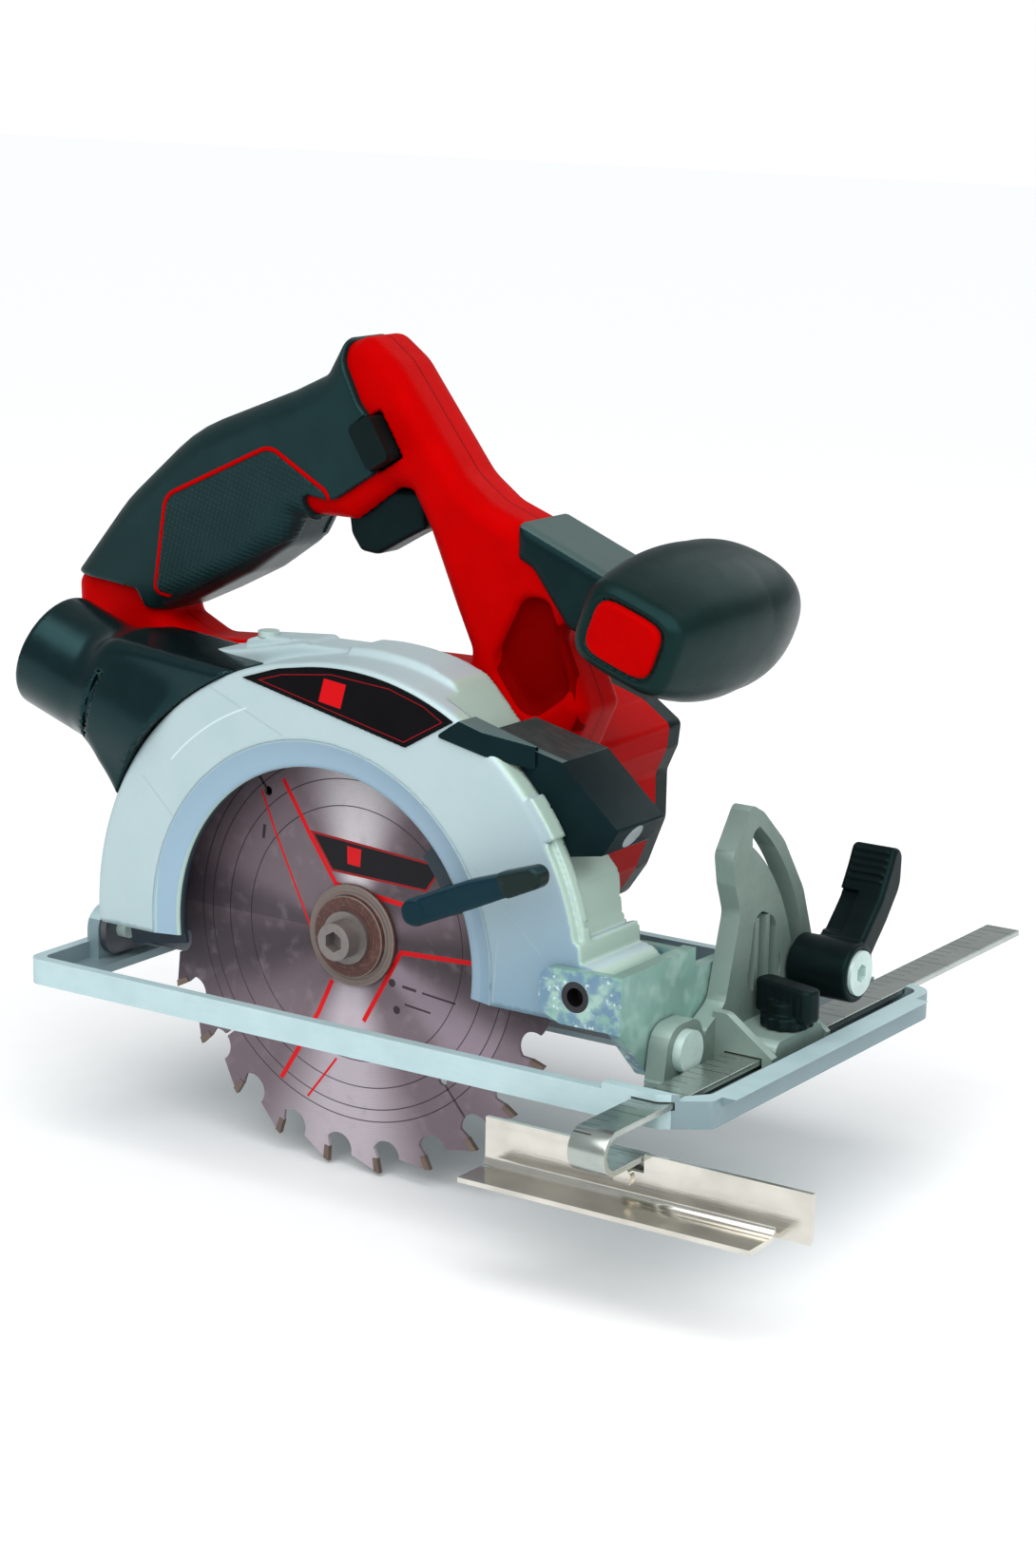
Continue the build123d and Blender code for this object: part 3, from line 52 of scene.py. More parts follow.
TEAL_TINGE = (0.35, 0.95, 1.0)
RED_TINGE = (1.0, 0.10, 0.10)
PRINT_RED = (0.62, 0.006, 0.010)
ARC_STEP = 8.0

# Driving sizes in millimetres; angles in radians.
FLOOR_Z = -54.6
SPINDLE_Z = 28.5
BLADE_BAND_R = 64.5
BLADE_RINGS = (43.7, 52.8, 60.3, BLADE_BAND_R)
WINDOW_R = 60.0
DISH_R = 69.0
LEVER_TIP_R = 92.0
BASE_NEAR_Y = -37.0
BAR_X = 138.5
LAMP_NEAR_Y = -14.0
GUARD_R = 94.5
GUARD_FACE_Y = -22.0
CASTING_Y, CASTING_HALF = -4.25, 17.75
DRUM_SHIFT_X, DRUM_SHIFT_Z = 9.0, 1.5
GUARD_FOOT_Z = 22.0
GUARD_WALL = 3.0
PIVOT_X, PIVOT_Z = 103.5, 32.0
PIVOT_BOSS_R, PIVOT_BORE_R = 9.2, 5.0
BLADE_ROOM_R = 88.0
GEAR_HOLE_R = 21.0
CREST_HIGH = 2.6
HANDLE_Y = 31.0
HANDLE_HALF = 13.6
GRIP_HALF = 16.5
SLEEVE_HALF = 15.6
TRIGGER_HALF = 6.3
BUTTON_TILT = math.radians(32)
KNOB = (111.0, 24.0, 144.0)
KNOB_HALF = 42.0
KNOB_TURN = math.radians(-20)
KNOB_WIDE, KNOB_HIGH = 24.0, 23.0
CLAMP_X, CLAMP_Y = 141.2, 42.0
QUADRANT_R, QUADRANT_Z = 73.5, 13.0
BOLT_RISE = math.radians(9.5)
BEVEL_BOLT = (QUADRANT_R * math.cos(BOLT_RISE), QUADRANT_Z + QUADRANT_R * math.sin(BOLT_RISE))
PORT_END = (-126.0, -5.0, 110.0)
PORT_RISE = math.radians(19)
PORT_R, PORT_HALF = 20.5, 30.0
PORT_GROOVE = 34.0
PORT_BORE_R, PORT_BORE_END = 17.5, 38.0
PORT_THROAT_R, PORT_THROAT_END = 14.5, 70.0
LEVER_Y, LEVER_RISE = -35.5, math.radians(26)
LEVER_POST, LEVER_POST_R = 56.0, 3.8
PADDLE_X, PADDLE_HALF = 139.75, 8.25
BARREL_X, BARREL_R, BARREL_HALF = 139.6, 10.0, 11.0
CAP_R, CAP_X = 7.6, 146.6
BEVEL_BOLT_R = 3.1
WING_Z, WING_HALF, WING_TURN = 22.0, 5.5, math.radians(-15)
HUB_R, NECK_R, THREAD_R = 8.5, 6.0, 2.9


# ------------ outlines and distance fields
def rounded(corners):
    """Closed polygon from corners (u, v) or (u, v, radius), with arcs of short straight parts."""
    count = len(corners)
    points = []
    for index, corner in enumerate(corners):
        here = np.array(corner[:2], float)
        radius = corner[2] if len(corner) > 2 else 0.0
        before = np.array(corners[index - 1][:2], float) - here
        after = np.array(corners[(index + 1) % count][:2], float) - here
        before /= np.linalg.norm(before)
        after /= np.linalg.norm(after)
        half = math.acos(max(-1.0, min(1.0, float(before @ after)))) / 2
        if radius == 0.0 or half > math.radians(89):
            points.append(here)
            continue
        middle = (before + after) / np.linalg.norm(before + after)
        centre = here + middle * radius / math.sin(half)
        start = here + before * radius / math.tan(half) - centre
        end = here + after * radius / math.tan(half) - centre
        turn = math.atan2(start[0] * end[1] - start[1] * end[0], float(start @ end))
        parts = max(2, math.ceil(math.degrees(abs(turn)) / ARC_STEP))
        for part in range(parts + 1):
            angle = turn * part / parts
            cos, sin = math.cos(angle), math.sin(angle)
            arm = [start[0] * cos - start[1] * sin, start[0] * sin + start[1] * cos]
            points.append(centre + np.array(arm))
    return np.array(points)


def polygon(points, u, v):
    """Signed distance to a closed polygon, negative inside."""
    u, v = np.broadcast_arrays(u, v)
    nearest = np.full(u.shape, 1e9)
    inside = np.zeros(u.shape, bool)
    for first, second in zip(points, np.roll(points, -1, axis=0)):
        edge = second - first
        length = float(edge @ edge)
        if length < 1e-12:
            continue
        du, dv = u - first[0], v - first[1]
        along = np.clip((du * edge[0] + dv * edge[1]) / length, 0.0, 1.0)
        nearest = np.minimum(nearest, (du - along * edge[0]) ** 2 + (dv - along * edge[1]) ** 2)
        if edge[1] != 0.0:
            crosses = (first[1] > v) != (second[1] > v)
            inside ^= crosses & (u < first[0] + (v - first[1]) * edge[0] / edge[1])
    return np.where(inside, -1.0, 1.0) * np.sqrt(nearest)


def slab(flat, across, centre, half, edge):
    """Flat field drawn out to both sides of `centre`, its rims rounded by `edge`."""
    qu = flat + edge
    qv = np.abs(across - centre) - half + edge
    outside = np.hypot(np.maximum(qu, 0.0), np.maximum(qv, 0.0))
    return np.minimum(np.maximum(qu, qv), 0.0) + outside - edge


def join(first, second, blend):
    """Smooth union of two fields."""
    mix = np.clip(0.5 + 0.5 * (second - first) / blend, 0.0, 1.0)
    return second * (1 - mix) + first * mix - blend * mix * (1 - mix)


def carve(first, second, blend):
    """First field minus the second, with a rounded rim."""
    return -join(-first, second, blend)


def overlap(*fields):
    """Common part of several fields, edges left sharp."""
    return reduce(np.maximum, fields)


def cut(field, *tools):
    """Field with others taken away, edges left sharp."""
    for tool in tools:
        field = np.maximum(field, -tool)
    return field


def turned(u, v, angle):
    """Coordinates along and across a direction at `angle` from the first axis."""
    return u * math.cos(angle) + v * math.sin(angle), v * math.cos(angle) - u * math.sin(angle)


def within(value, middle, half):
    """Negative where a value is less than `half` away from `middle`."""
    return np.abs(value - middle) - half


def surface(name, field, low, high, step):
    """Mesh of a field's zero surface: one point per crossed cell, moved onto the surface."""
    axes = [np.arange(a, b + step, step) for a, b in zip(low, high)]
    grid = np.ix_(*axes)
    inside = np.broadcast_to(field(*grid), [len(axis) for axis in axes]) < 0
    count = np.zeros([len(axis) - 1 for axis in axes], np.int8)
    for i in (0, 1):
        for j in (0, 1):
            for k in (0, 1):
                nx, ny, nz = count.shape
                count += inside[i:nx + i, j:ny + j, k:nz + k]
    crossed = (count > 0) & (count < 8)
    number = -np.ones(count.shape, int)
    number[crossed] = np.arange(crossed.sum())
    cell = np.argwhere(crossed)
    centre = np.stack([axes[d][cell[:, d]] + step / 2 for d in range(3)], axis=1)
    points = centre.copy()
    tiny = step * 0.05
    roam = step * 0.75
    for _ in range(6):
        value = field(*points.T)
        slope = np.stack([
            field(*(points + tiny * np.eye(3)[d]).T) - field(*(points - tiny * np.eye(3)[d]).T)
            for d in range(3)], axis=1) / (2 * tiny)
        steep = np.maximum((slope ** 2).sum(1), 0.05)
        points -= (value / steep)[:, None] * slope * 0.8
        points = np.clip(points, centre - roam, centre + roam)
    quads = []
    for d in range(3):
        ahead = [slice(None)] * 3
        behind = [slice(None)] * 3
        ahead[d], behind[d] = slice(1, None), slice(0, -1)
        change = inside[tuple(ahead)].astype(int) - inside[tuple(behind)].astype(int)
        where = np.argwhere(change)
        sign = change[tuple(where.T)]
        e, f = [axis for axis in range(3) if axis != d]
        keep = (where[:, e] > 0) & (where[:, f] > 0)
        keep &= (where[:, e] < count.shape[e]) & (where[:, f] < count.shape[f])
        where, sign = where[keep], sign[keep]
        ring = []
        for back_e, back_f in ((1, 1), (0, 1), (0, 0), (1, 0)):
            at = where.copy()
            at[:, e] -= back_e
            at[:, f] -= back_f
            ring.append(number[tuple(at.T)])
        ring = np.stack(ring, axis=1)
        flip = (sign > 0) ^ (d == 1)
        ring[flip] = ring[flip][:, ::-1]
        quads.append(ring)
    quads = np.concatenate(quads)
    return mesh_piece(name, points, quads)


def mesh_piece(name, points, faces):
    """Object from points in millimetres and faces."""
    data = bpy.data.meshes.new(name)
    data.from_pydata((np.asarray(points) * MM).tolist(), [], np.asarray(faces).tolist())
    data.update()
    data.validate()
    for face in data.polygons:
        face.use_smooth = True
    piece = bpy.data.objects.new(name, data)
    bpy.context.scene.collection.objects.link(piece)
    return piece


def thin_out(piece, keep):
    """Collapse flat stretches of a dense mesh down to a share of its faces."""
    modifier = piece.modifiers.new("thin", "DECIMATE")
    modifier.ratio = keep
    shaped = bpy.data.meshes.new_from_object(piece.evaluated_get(bpy.context.evaluated_depsgraph_get()))
    piece.modifiers.clear()
    piece.data = shaped
    for face in piece.data.polygons:
        face.use_smooth = True
    return piece


def mould(name, field, low, high, step, keep):
    """Moulded piece from a field, with a share of its faces kept."""
    return thin_out(surface(name, field, low, high, step), keep)


def dress(piece, body, slot, *nodes, material=None):
    """Give a new piece its slot's material or another, and its body, and hide the CAD nodes it replaces."""
    piece.data.materials.clear()
    piece.data.materials.append(material or MATERIALS[slot])
    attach(piece, body)
    if nodes:
        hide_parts(*nodes)
    return piece


# ------------ materials
class Value:
    """A socket that is added and multiplied like a number, through Math nodes."""

    def __init__(self, tree, socket):
        self.tree = tree
        self.link = tree.links.new
        self.socket = socket

    def apply(self, operation, *others):
        node = self.tree.nodes.new("ShaderNodeMath")
        node.operation = operation
        self.link(self.socket, node.inputs[0])
        for index, other in enumerate(others):
            if isinstance(other, Value):
                self.link(other.socket, node.inputs[index + 1])
            else:
                node.inputs[index + 1].default_value = other
        return Value(self.tree, node.outputs[0])

    def __add__(self, other):
        return self.apply("ADD", other)

    def __sub__(self, other):
        return self.apply("SUBTRACT", other)

    def __mul__(self, other):
        return self.apply("MULTIPLY", other)

    def above(self, limit):
        return self.apply("GREATER_THAN", limit)

    def below(self, limit):
        return self.apply("LESS_THAN", limit)

    def either(self, other):
        return self.apply("MAXIMUM", other)

    def near(self, middle, half):
        """1 where the value is within `half` of `middle`."""
        return (self - middle).apply("ABSOLUTE").below(half)

    def fade(self, low, high):
        """0 at `low` to 1 at `high`, smooth."""
        node = self.tree.nodes.new("ShaderNodeMapRange")
        node.interpolation_type = "SMOOTHSTEP"
        self.link(self.socket, node.inputs["Value"])
        node.inputs["From Min"].default_value = low
        node.inputs["From Max"].default_value = high
        return Value(self.tree, node.outputs["Result"])

    def spread(self, low, high):
        """Straight map of 0..1 to low..high."""
        return self * (high - low) + low


class Finish:
    """A principled material under construction, in millimetres of the object's own space."""

    def __init__(self, name, colour, rough, metal=0.0, specular=0.5, tinge=(1.0, 1.0, 1.0)):
        self.material = bpy.data.materials.new(name)
        self.material.use_nodes = True
        self.tree = self.material.node_tree
        self.link = self.tree.links.new
        self.shader = self.tree.nodes["Principled BSDF"]
        for socket, value in (("Base Color", (*colour, 1)), ("Roughness", rough), ("Metallic", metal),
                              ("Specular IOR Level", specular), ("Specular Tint", (*tinge, 1))):
            self.shader.inputs[socket].default_value = value
        self.coordinates = self.tree.nodes.new("ShaderNodeTexCoord")
        scaled = self.tree.nodes.new("ShaderNodeVectorMath")
        scaled.operation = "SCALE"
        scaled.inputs["Scale"].default_value = 1000.0
        self.link(self.coordinates.outputs["Object"], scaled.inputs[0])
        self.place = scaled.outputs[0]
        split = self.tree.nodes.new("ShaderNodeSeparateXYZ")
        self.link(self.place, split.inputs[0])
        self.x, self.y, self.z = [Value(self.tree, output) for output in split.outputs]
        self.colour = None
        self.bump = None

    def stretched(self, scale):
        node = self.tree.nodes.new("ShaderNodeVectorMath")
        node.operation = "MULTIPLY"
        node.inputs[1].default_value = scale
        self.link(self.place, node.inputs[0])
        return node.outputs[0]

    def noise(self, size, detail=4.0, stretch=None):
        """Noise with features of about `size` millimetres."""
        node = self.tree.nodes.new("ShaderNodeTexNoise")
        node.inputs["Scale"].default_value = 1.0 / size
        node.inputs["Detail"].default_value = detail
        node.inputs["Roughness"].default_value = 0.55
        self.link(self.stretched(stretch) if stretch else self.place, node.inputs["Vector"])
        return Value(self.tree, node.outputs["Fac"])

    def tint(self, amount, colour):
        """Mix a colour over the base, where `amount` is near 1."""
        node = self.tree.nodes.new("ShaderNodeMix")
        node.data_type = "RGBA"
        self.link(amount.socket, node.inputs["Factor"])
        if self.colour is None:
            node.inputs["A"].default_value = self.shader.inputs["Base Color"].default_value[:]
        else:
            self.link(self.colour, node.inputs["A"])
        node.inputs["B"].default_value = (*colour, 1)
        self.colour = node.outputs["Result"]
        self.link(self.colour, self.shader.inputs["Base Color"])
        return self

    def roughness(self, value):
        self.link(value.socket, self.shader.inputs["Roughness"])
        return self

    def relief(self, height, depth):
        """Bump of `depth` millimetres for a height of 1; calls add up."""
        node = self.tree.nodes.new("ShaderNodeBump")
        node.inputs["Strength"].default_value = 1.0
        node.inputs["Distance"].default_value = depth * MM
        self.link(height.socket, node.inputs["Height"])
        if self.bump is not None:
            self.link(self.bump, node.inputs["Normal"])
        self.bump = node.outputs["Normal"]
        self.link(self.bump, self.shader.inputs["Normal"])
        return self

    def radius(self, x=0.0, z=SPINDLE_Z):
        """Distance from an axis along y, by default the spindle's."""
        dx, dz = self.x - x, self.z - z
        return (dx * dx + dz * dz).apply("SQRT")

    def facing(self, axis):
        """Part of the surface normal along axis 0, 1 or 2 of the object's own space."""
        split = self.tree.nodes.new("ShaderNodeSeparateXYZ")
        self.link(self.coordinates.outputs["Normal"], split.inputs[0])
        return Value(self.tree, split.outputs[axis])

    def edges(self, points):
        """Length of each straight part, and the distances along it and to its left."""
        for (x0, z0), (x1, z1) in zip(points, points[1:]):
            length = math.hypot(x1 - x0, z1 - z0)
            cos, sin = (x1 - x0) / length, (z1 - z0) / length
            dx, dz = self.x - x0, self.z - z0
            yield length, dx * cos + dz * sin, dz * cos - dx * sin

    def stroke(self, points, half):
        """1 on a line of straight parts through points (x, z), `half` wide to each side."""
        parts = [across.near(0.0, half) * along.near(length / 2, length / 2 + half * 0.7)
                 for length, along, across in self.edges(points)]
        return reduce(Value.either, parts)

    def strokes(self, lines, half):
        """1 on any of several lines."""
        return reduce(Value.either, [self.stroke(points, half) for points in lines])

    def patch(self, corners, inset=0.0):
        """1 inside a convex outline of corners (x, z) in clockwise order."""
        sides = [across.below(-inset) for _, _, across in self.edges(corners + corners[:1])]
        return reduce(Value.__mul__, sides)


def moulded(name, colour, rough, worn, grain, depth, specular=0.5, tinge=(1.0, 1.0, 1.0)):
    """Moulded plastic: fine grain, faint unevenness of tone and gloss."""
    finish = Finish(name, colour, rough, specular=specular, tinge=tinge)
    soft = finish.noise(14.0)
    finish.tint(soft.fade(0.35, 0.75) * 0.5, worn)
    finish.roughness(finish.noise(6.0).spread(rough - 0.07, rough + 0.09))
    finish.relief(finish.noise(grain, 2.0), depth)
    finish.relief(finish.noise(9.0, 1.0), 0.05)
    return finish


def metal(name, colour, rough, cloud, stretch=(1, 1, 1), grain=0.8, depth=0.015, *, metallic):
    """Metal: cloudy tone, streaks along one direction, and small scratches."""
    finish = Finish(name, colour, rough, metallic)
    finish.tint(finish.noise(18.0, 5.0).fade(0.3, 0.75) * 0.55, cloud)
    finish.tint(finish.noise(2.2, 3.0, stretch).fade(0.45, 0.8) * 0.25, cloud)
    finish.roughness(finish.noise(3.0, 4.0, stretch).spread(rough - 0.08, rough + 0.14))
    finish.relief(finish.noise(grain, 3.0, stretch), depth)
    return finish


def dark(name, colour, rough, worn, grain, depth, specular):
    """Black plastic or rubber with a teal sheen."""
    return moulded(name, colour, rough, worn, grain, depth, specular, TEAL_TINGE)


def red_housing():
    """Handle and motor shells: a seam along the middle, and painted shade that darkens the channel in the
    web.
    """
    finish = moulded("red_housing", (0.46, 0.0002, 0.0004), 0.45, (0.36, 0.0001, 0.0003), 0.45, 0.012,
                     0.03, RED_TINGE)
    seam = finish.y.near(HANDLE_Y, 0.22)
    finish.tint(seam, (0.09, 0.0, 0.0))
    finish.relief(seam, -0.25)
    # Painted shade: the channel scooped into the web's near side is darkened.
    channel = finish.y.below(HANDLE_Y - HANDLE_HALF + 6.5) * finish.y.above(HANDLE_Y - HANDLE_HALF + 2.0)
    scooped = finish.patch([(38, 104), (48, 150), (66, 150), (74, 104)])
    finish.tint(channel * scooped * 0.75, (0.09, 0.0, 0.0))
    return finish.material


def grip_rubber():
    finish = dark("grip_rubber", (0.004, 0.012, 0.013), 0.36, (0.007, 0.021, 0.022), 0.6, 0.03, 0.30)
    seam = finish.y.near(HANDLE_Y, 0.2)
    finish.relief(seam, -0.3)
    finish.tint(seam, (0.004, 0.006, 0.006))
    return finish.material


def panel_rubber():
    """Fine raised squares over the pad."""
    finish = dark("panel_rubber", (0.005, 0.014, 0.015), 0.42, (0.009, 0.023, 0.025), 0.6, 0.02, 0.28)
    cos, sin, pitch = 0.88, 0.48, 2.6
    along = ((finish.x * cos + finish.z * sin) * pitch).apply("SINE")
    down = ((finish.z * cos - finish.x * sin) * pitch).apply("SINE")
    finish.relief((along * down).fade(-0.6, 0.6), 0.14)
    return finish.material


def knob_rubber():
    return dark("knob_rubber", (0.003, 0.010, 0.009), 0.34, (0.006, 0.017, 0.015), 0.9, 0.03, 0.18).material


def black_plastic(name, colour, rough):
    return dark(name, colour, rough, tuple(c * 1.9 for c in colour), 0.5, 0.02, 0.12).material


def port_plastic():
    """Glossy black."""
    return dark("port_plastic", (0.002, 0.005, 0.006), 0.24, (0.004, 0.009, 0.010), 0.5, 0.008, 0.40).material


def lamp_plastic():
    """Black housing; painted light makes its broad top grey-green with brushed streaks, and a painted
    highlight lightens a band along the near edge.
    """
    finish = dark("lamp_plastic", (0.003, 0.008, 0.010), 0.36, (0.005, 0.014, 0.017), 0.5, 0.02, 0.12)
    # Painted light on the upward faces, and a painted highlight along the top's near edge.
    top = finish.facing(2).above(0.80)
    finish.tint(top * 0.95, (0.028, 0.046, 0.046))
    brushed = finish.noise(1.6, 4.0, (0.12, 1.0, 1.0)).fade(0.42, 0.66)
    finish.tint(top * brushed * 0.7, (0.055, 0.068, 0.062))
    finish.tint(top * finish.y.below(LAMP_NEAR_Y + 3.2) * 0.8, (0.105, 0.170, 0.170))
    return finish.material


def sleeve_plastic():
    """Black, with painted light making its top paler."""
    finish = dark("sleeve_plastic", (0.003, 0.009, 0.010), 0.36, (0.006, 0.016, 0.017), 0.5, 0.02, 0.15)
    # Painted light: upward faces are paler.
    finish.tint(finish.facing(2).above(0.62) * 0.85, (0.070, 0.105, 0.100))
    return finish.material


def inset_red():
    finish = moulded("inset_red", (0.42, 0.0002, 0.0004), 0.42, (0.34, 0.0001, 0.0003), 0.5, 0.012, 0.04,
                     RED_TINGE)
    return finish.material


def guard_lacquer():
    """Silver lacquer on a casting: pale; painted shade makes it bluer in the window's dish and near the foot
    and dark inside, painted shade tints the forward walls and darkens step lines, and a painted highlight
    runs along an arc.
    """
    finish = Finish("guard_lacquer", (0.42, 0.53, 0.55), 0.42, 0.15, 0.3)
    finish.tint(finish.noise(26.0, 3.0).fade(0.35, 0.75) * 0.45, (0.36, 0.48, 0.51))
    finish.tint(finish.noise(3.0, 6.0).fade(0.55, 0.8) * 0.25, (0.48, 0.58, 0.59))
    radius = finish.radius()
    outward = finish.facing(1).below(-0.5)
    face = finish.y.below(GUARD_FACE_Y + 0.4)
    # Painted shade: the outer face grows darker and bluer towards its lower front.
    low = (finish.x * 0.7 - finish.z).fade(-45.0, 40.0) * outward * finish.y.below(GUARD_FACE_Y + 1.4)
    finish.tint(low * 0.85, (0.17, 0.28, 0.38))
    # Painted shade: the sloped dish round the window is darker and bluer.
    dish = radius.below(DISH_R) * finish.y.below(GUARD_FACE_Y + 4.0) * outward
    finish.tint(dish * 0.8, (0.25, 0.38, 0.50))
    # Painted shade: faces that look forward are tinted greener.
    wall = finish.facing(0).above(0.45)
    finish.tint(wall * 0.8, (0.40, 0.54, 0.45))
    groove = radius.near(DISH_R + 0.4, 0.3) * face
    arc = radius.near(82.0, 0.3) * finish.patch([(-64, 84), (-40, 112), (-26, 112), (-40, 80)]) * face
    slants = finish.strokes([[(-47, 111.5), (-14, 98)], [(-73, 76), (-56, 60)], [(62, 66), (88, 42)]], 0.28)
    lines = slants.either(finish.stroke([(70, 22), (72, 47)], 0.3)) * face
    # Painted shade darkens the groove at the dish's rim and the lines along the casting's steps.
    finish.tint(groove * 0.6, (0.22, 0.33, 0.38))
    finish.tint(lines * 0.5, (0.34, 0.45, 0.47))
    # Painted highlight along the arc of a raised step's edge.
    finish.tint(arc * 0.8, (0.62, 0.72, 0.74))
    finish.relief(lines.either(groove), -0.2)
    # Painted shade: surfaces inside the guard's hollow are near-black navy.
    inside = finish.y.above(-18.7) * finish.y.below(10.0) * radius.below(90.4)
    finish.tint(inside * 0.92, (0.016, 0.035, 0.060))
    finish.relief(finish.noise(1.1, 3.0), 0.03)
    finish.roughness(finish.noise(5.0).spread(0.34, 0.5))
    return finish.material


def lower_guard_metal():
    return metal("lower_guard_metal", (0.020, 0.036, 0.050), 0.42, (0.012, 0.022, 0.034),
                 metallic=0.3).material


def base_metal():
    finish = metal("base_metal", (0.47, 0.62, 0.64), 0.42, (0.36, 0.50, 0.53), (0.15, 2.0, 2.0), metallic=0.2)
    # Painted shade on the faces that do not look up, away from the near edge, such as the slot's far wall.
    inner = finish.facing(2).below(0.5) * finish.y.above(BASE_NEAR_Y + 2.5)
    finish.tint(inner * 0.8, (0.15, 0.22, 0.25))
    # Painted shade darkens the upward faces lower than 6 mm.
    finish.tint(finish.facing(2).above(0.7) * finish.z.below(6.0) * 0.75, (0.12, 0.17, 0.20))
    return finish.material


def cast_metal():
    finish = metal("cast_metal", (0.17, 0.235, 0.205), 0.40, (0.11, 0.16, 0.14), grain=1.4, depth=0.06,
                   metallic=0.25)
    # Painted light: upward faces and faces toward the near side are lighter.
    finish.tint(finish.facing(2).above(0.6) * 0.6, (0.36, 0.48, 0.44))
    finish.tint(finish.facing(1).below(-0.7) * 0.5, (0.26, 0.34, 0.31))
    return finish.material


def bracket_metal():
    """Zinc plating with its cloudy, pale and bluish patches."""
    finish = metal("bracket_metal", (0.24, 0.42, 0.36), 0.32, (0.17, 0.32, 0.28), grain=2.0, depth=0.02,
                   metallic=0.35)
    finish.tint(finish.noise(12.0, 2.0).fade(0.45, 0.65) * 0.6, (0.42, 0.60, 0.54))
    side = finish.facing(1).below(-0.6)
    finish.tint(side * finish.noise(4.5, 5.0).fade(0.40, 0.60) * 0.85, (0.12, 0.22, 0.34))
    finish.tint(side * finish.noise(2.2, 5.0).fade(0.60, 0.66) * 0.8, (0.62, 0.72, 0.74))
    return finish.material


def steel(name, colour, rough, stretch, metallic=0.95):
    return metal(name, colour, rough, tuple(c * 0.6 for c in colour), stretch, grain=0.6,
                 metallic=metallic).material


def bar_steel():
    """Polished bar with a plain scale of dark ticks on its top."""
    finish = metal("bar_steel", (0.46, 0.50, 0.47), 0.22, (0.30, 0.33, 0.31), (0.08, 1, 1), 0.6, metallic=0.9)
    top = finish.facing(2).above(0.7)
    short = finish.y.apply("PINGPONG", 2.5).below(0.22) * finish.x.below(BAR_X)
    long = finish.y.apply("PINGPONG", 12.5).below(0.25)
    finish.tint(short.either(long) * top * 0.8, (0.03, 0.035, 0.03))
    return finish.material


def blade_metal():
    """Circular grind with painted reflections as light and dark radial rays, dark rings, red printed strokes
    and a plain black band.
    """
    finish = Finish("blade_metal", (0.165, 0.125, 0.145), 0.45, 0.25, 0.2)
    radius = finish.radius()
    angle = (finish.z - SPINDLE_Z).apply("ARCTAN2", finish.x)

    def ray(middle, width, core=0.05):
        """1 along a ray at the angle `middle`, fading over `width` to both sides."""
        return (angle - middle).apply("ABSOLUTE").fade(width, core)

    # Painted reflections: light rays, then dark rays, across the blade.
    strength = radius.below(BLADE_BAND_R).fade(-1.0, 1.5)
    for middle, width, colour in ((1.55, 0.5, (0.68, 0.64, 0.67)), (-0.55, 0.30, (0.30, 0.24, 0.29))):
        finish.tint(ray(middle, width) * 0.95 * strength, colour)
    finish.tint(ray(-1.62, 0.55, 0.08) * 0.9, (0.52, 0.46, 0.51))
    for middle, width, colour in ((0.75, 0.5, (0.070, 0.055, 0.062)), (-0.05, 0.4, (0.05, 0.04, 0.045)),
                                  (3.1, 0.35, (0.060, 0.048, 0.060)), (-2.9, 0.5, (0.055, 0.044, 0.052))):
        finish.tint(ray(middle, width) * 0.85, colour)
    fine = (radius * 9.0 + finish.noise(12.0) * 6.0).apply("SINE")
    finish.tint(fine.fade(0.2, 1.0) * 0.16, (0.10, 0.08, 0.09))
    finish.tint(finish.noise(7.0, 6.0).fade(0.5, 0.8) * 0.35, (0.30, 0.25, 0.28))
    finish.relief(fine, 0.01)
    for ring in BLADE_RINGS:
        finish.tint(radius.near(ring, 0.2) * 0.85, (0.025, 0.02, 0.025))
    face = finish.y.below(-0.3)
    thick = finish.strokes([[(-29.8, 76.9), (-18.8, 60.0), (-7.9, 44.6), (23.1, 41.7)],
                            [(53.5, 27.3), (19.0, 25.5), (4.2, -0.5)],
                            [(-9.4, 10.6), (-14.8, -1.0), (-23.9, -16.6), (-30.4, -27.1)]], 0.85)
    thin = finish.strokes([[(-39.0, 71.8), (-33.4, 58.5), (-17.7, 26.5)], [(-7.4, -16.4), (-19.2, -31.8)]],
                          0.42)
    finish.tint(thick.either(thin) * face, PRINT_RED)
    band = [(-18.8, 61.5), (35.9, 57.7), (29.1, 47.9), (-9.7, 48.8)]
    finish.tint(finish.patch(band) * face, (0.30, 0.012, 0.014))
    finish.tint(finish.patch(band, 0.8) * face, (0.010, 0.009, 0.012))
    mark = [(-3.4, 58.4), (2.4, 58.0), (2.0, 52.0), (-3.2, 52.3)]
    finish.tint(finish.patch(mark) * face, PRINT_RED)
    specks = [finish.strokes([[(28, 13.2), (41, 12)], [(21, 8), (31, 7)]], 0.35),
              finish.stroke([(20, 14), (25, 13.5)], 0.5), finish.stroke([(-38, 60), (-38.5, 56)], 0.6)]
    specks += [finish.radius(x, z).below(1.4) for x, z in ((15.5, 14.5), (17.5, 5.5))]
    finish.tint(reduce(Value.either, specks) * face * 0.85, (0.015, 0.012, 0.015))
    finish.roughness(finish.noise(4.0).spread(0.34, 0.5))
    return finish.material


def lever_plastic():
    """Navy black, with a warmer end of the arm and painted light paling its top."""
    finish = dark("lever_plastic", (0.004, 0.016, 0.026), 0.36, (0.008, 0.028, 0.042), 0.5, 0.02, 0.15)
    finish.tint(finish.radius().above(LEVER_TIP_R) * 0.9, (0.012, 0.016, 0.012))
    # Painted light: upward faces are paler.
    finish.tint(finish.facing(2).above(0.5) * 0.35, (0.030, 0.070, 0.090))
    return finish.material


def carbide():
    return metal("carbide", (0.20, 0.15, 0.12), 0.45, (0.10, 0.07, 0.06), metallic=0.7).material


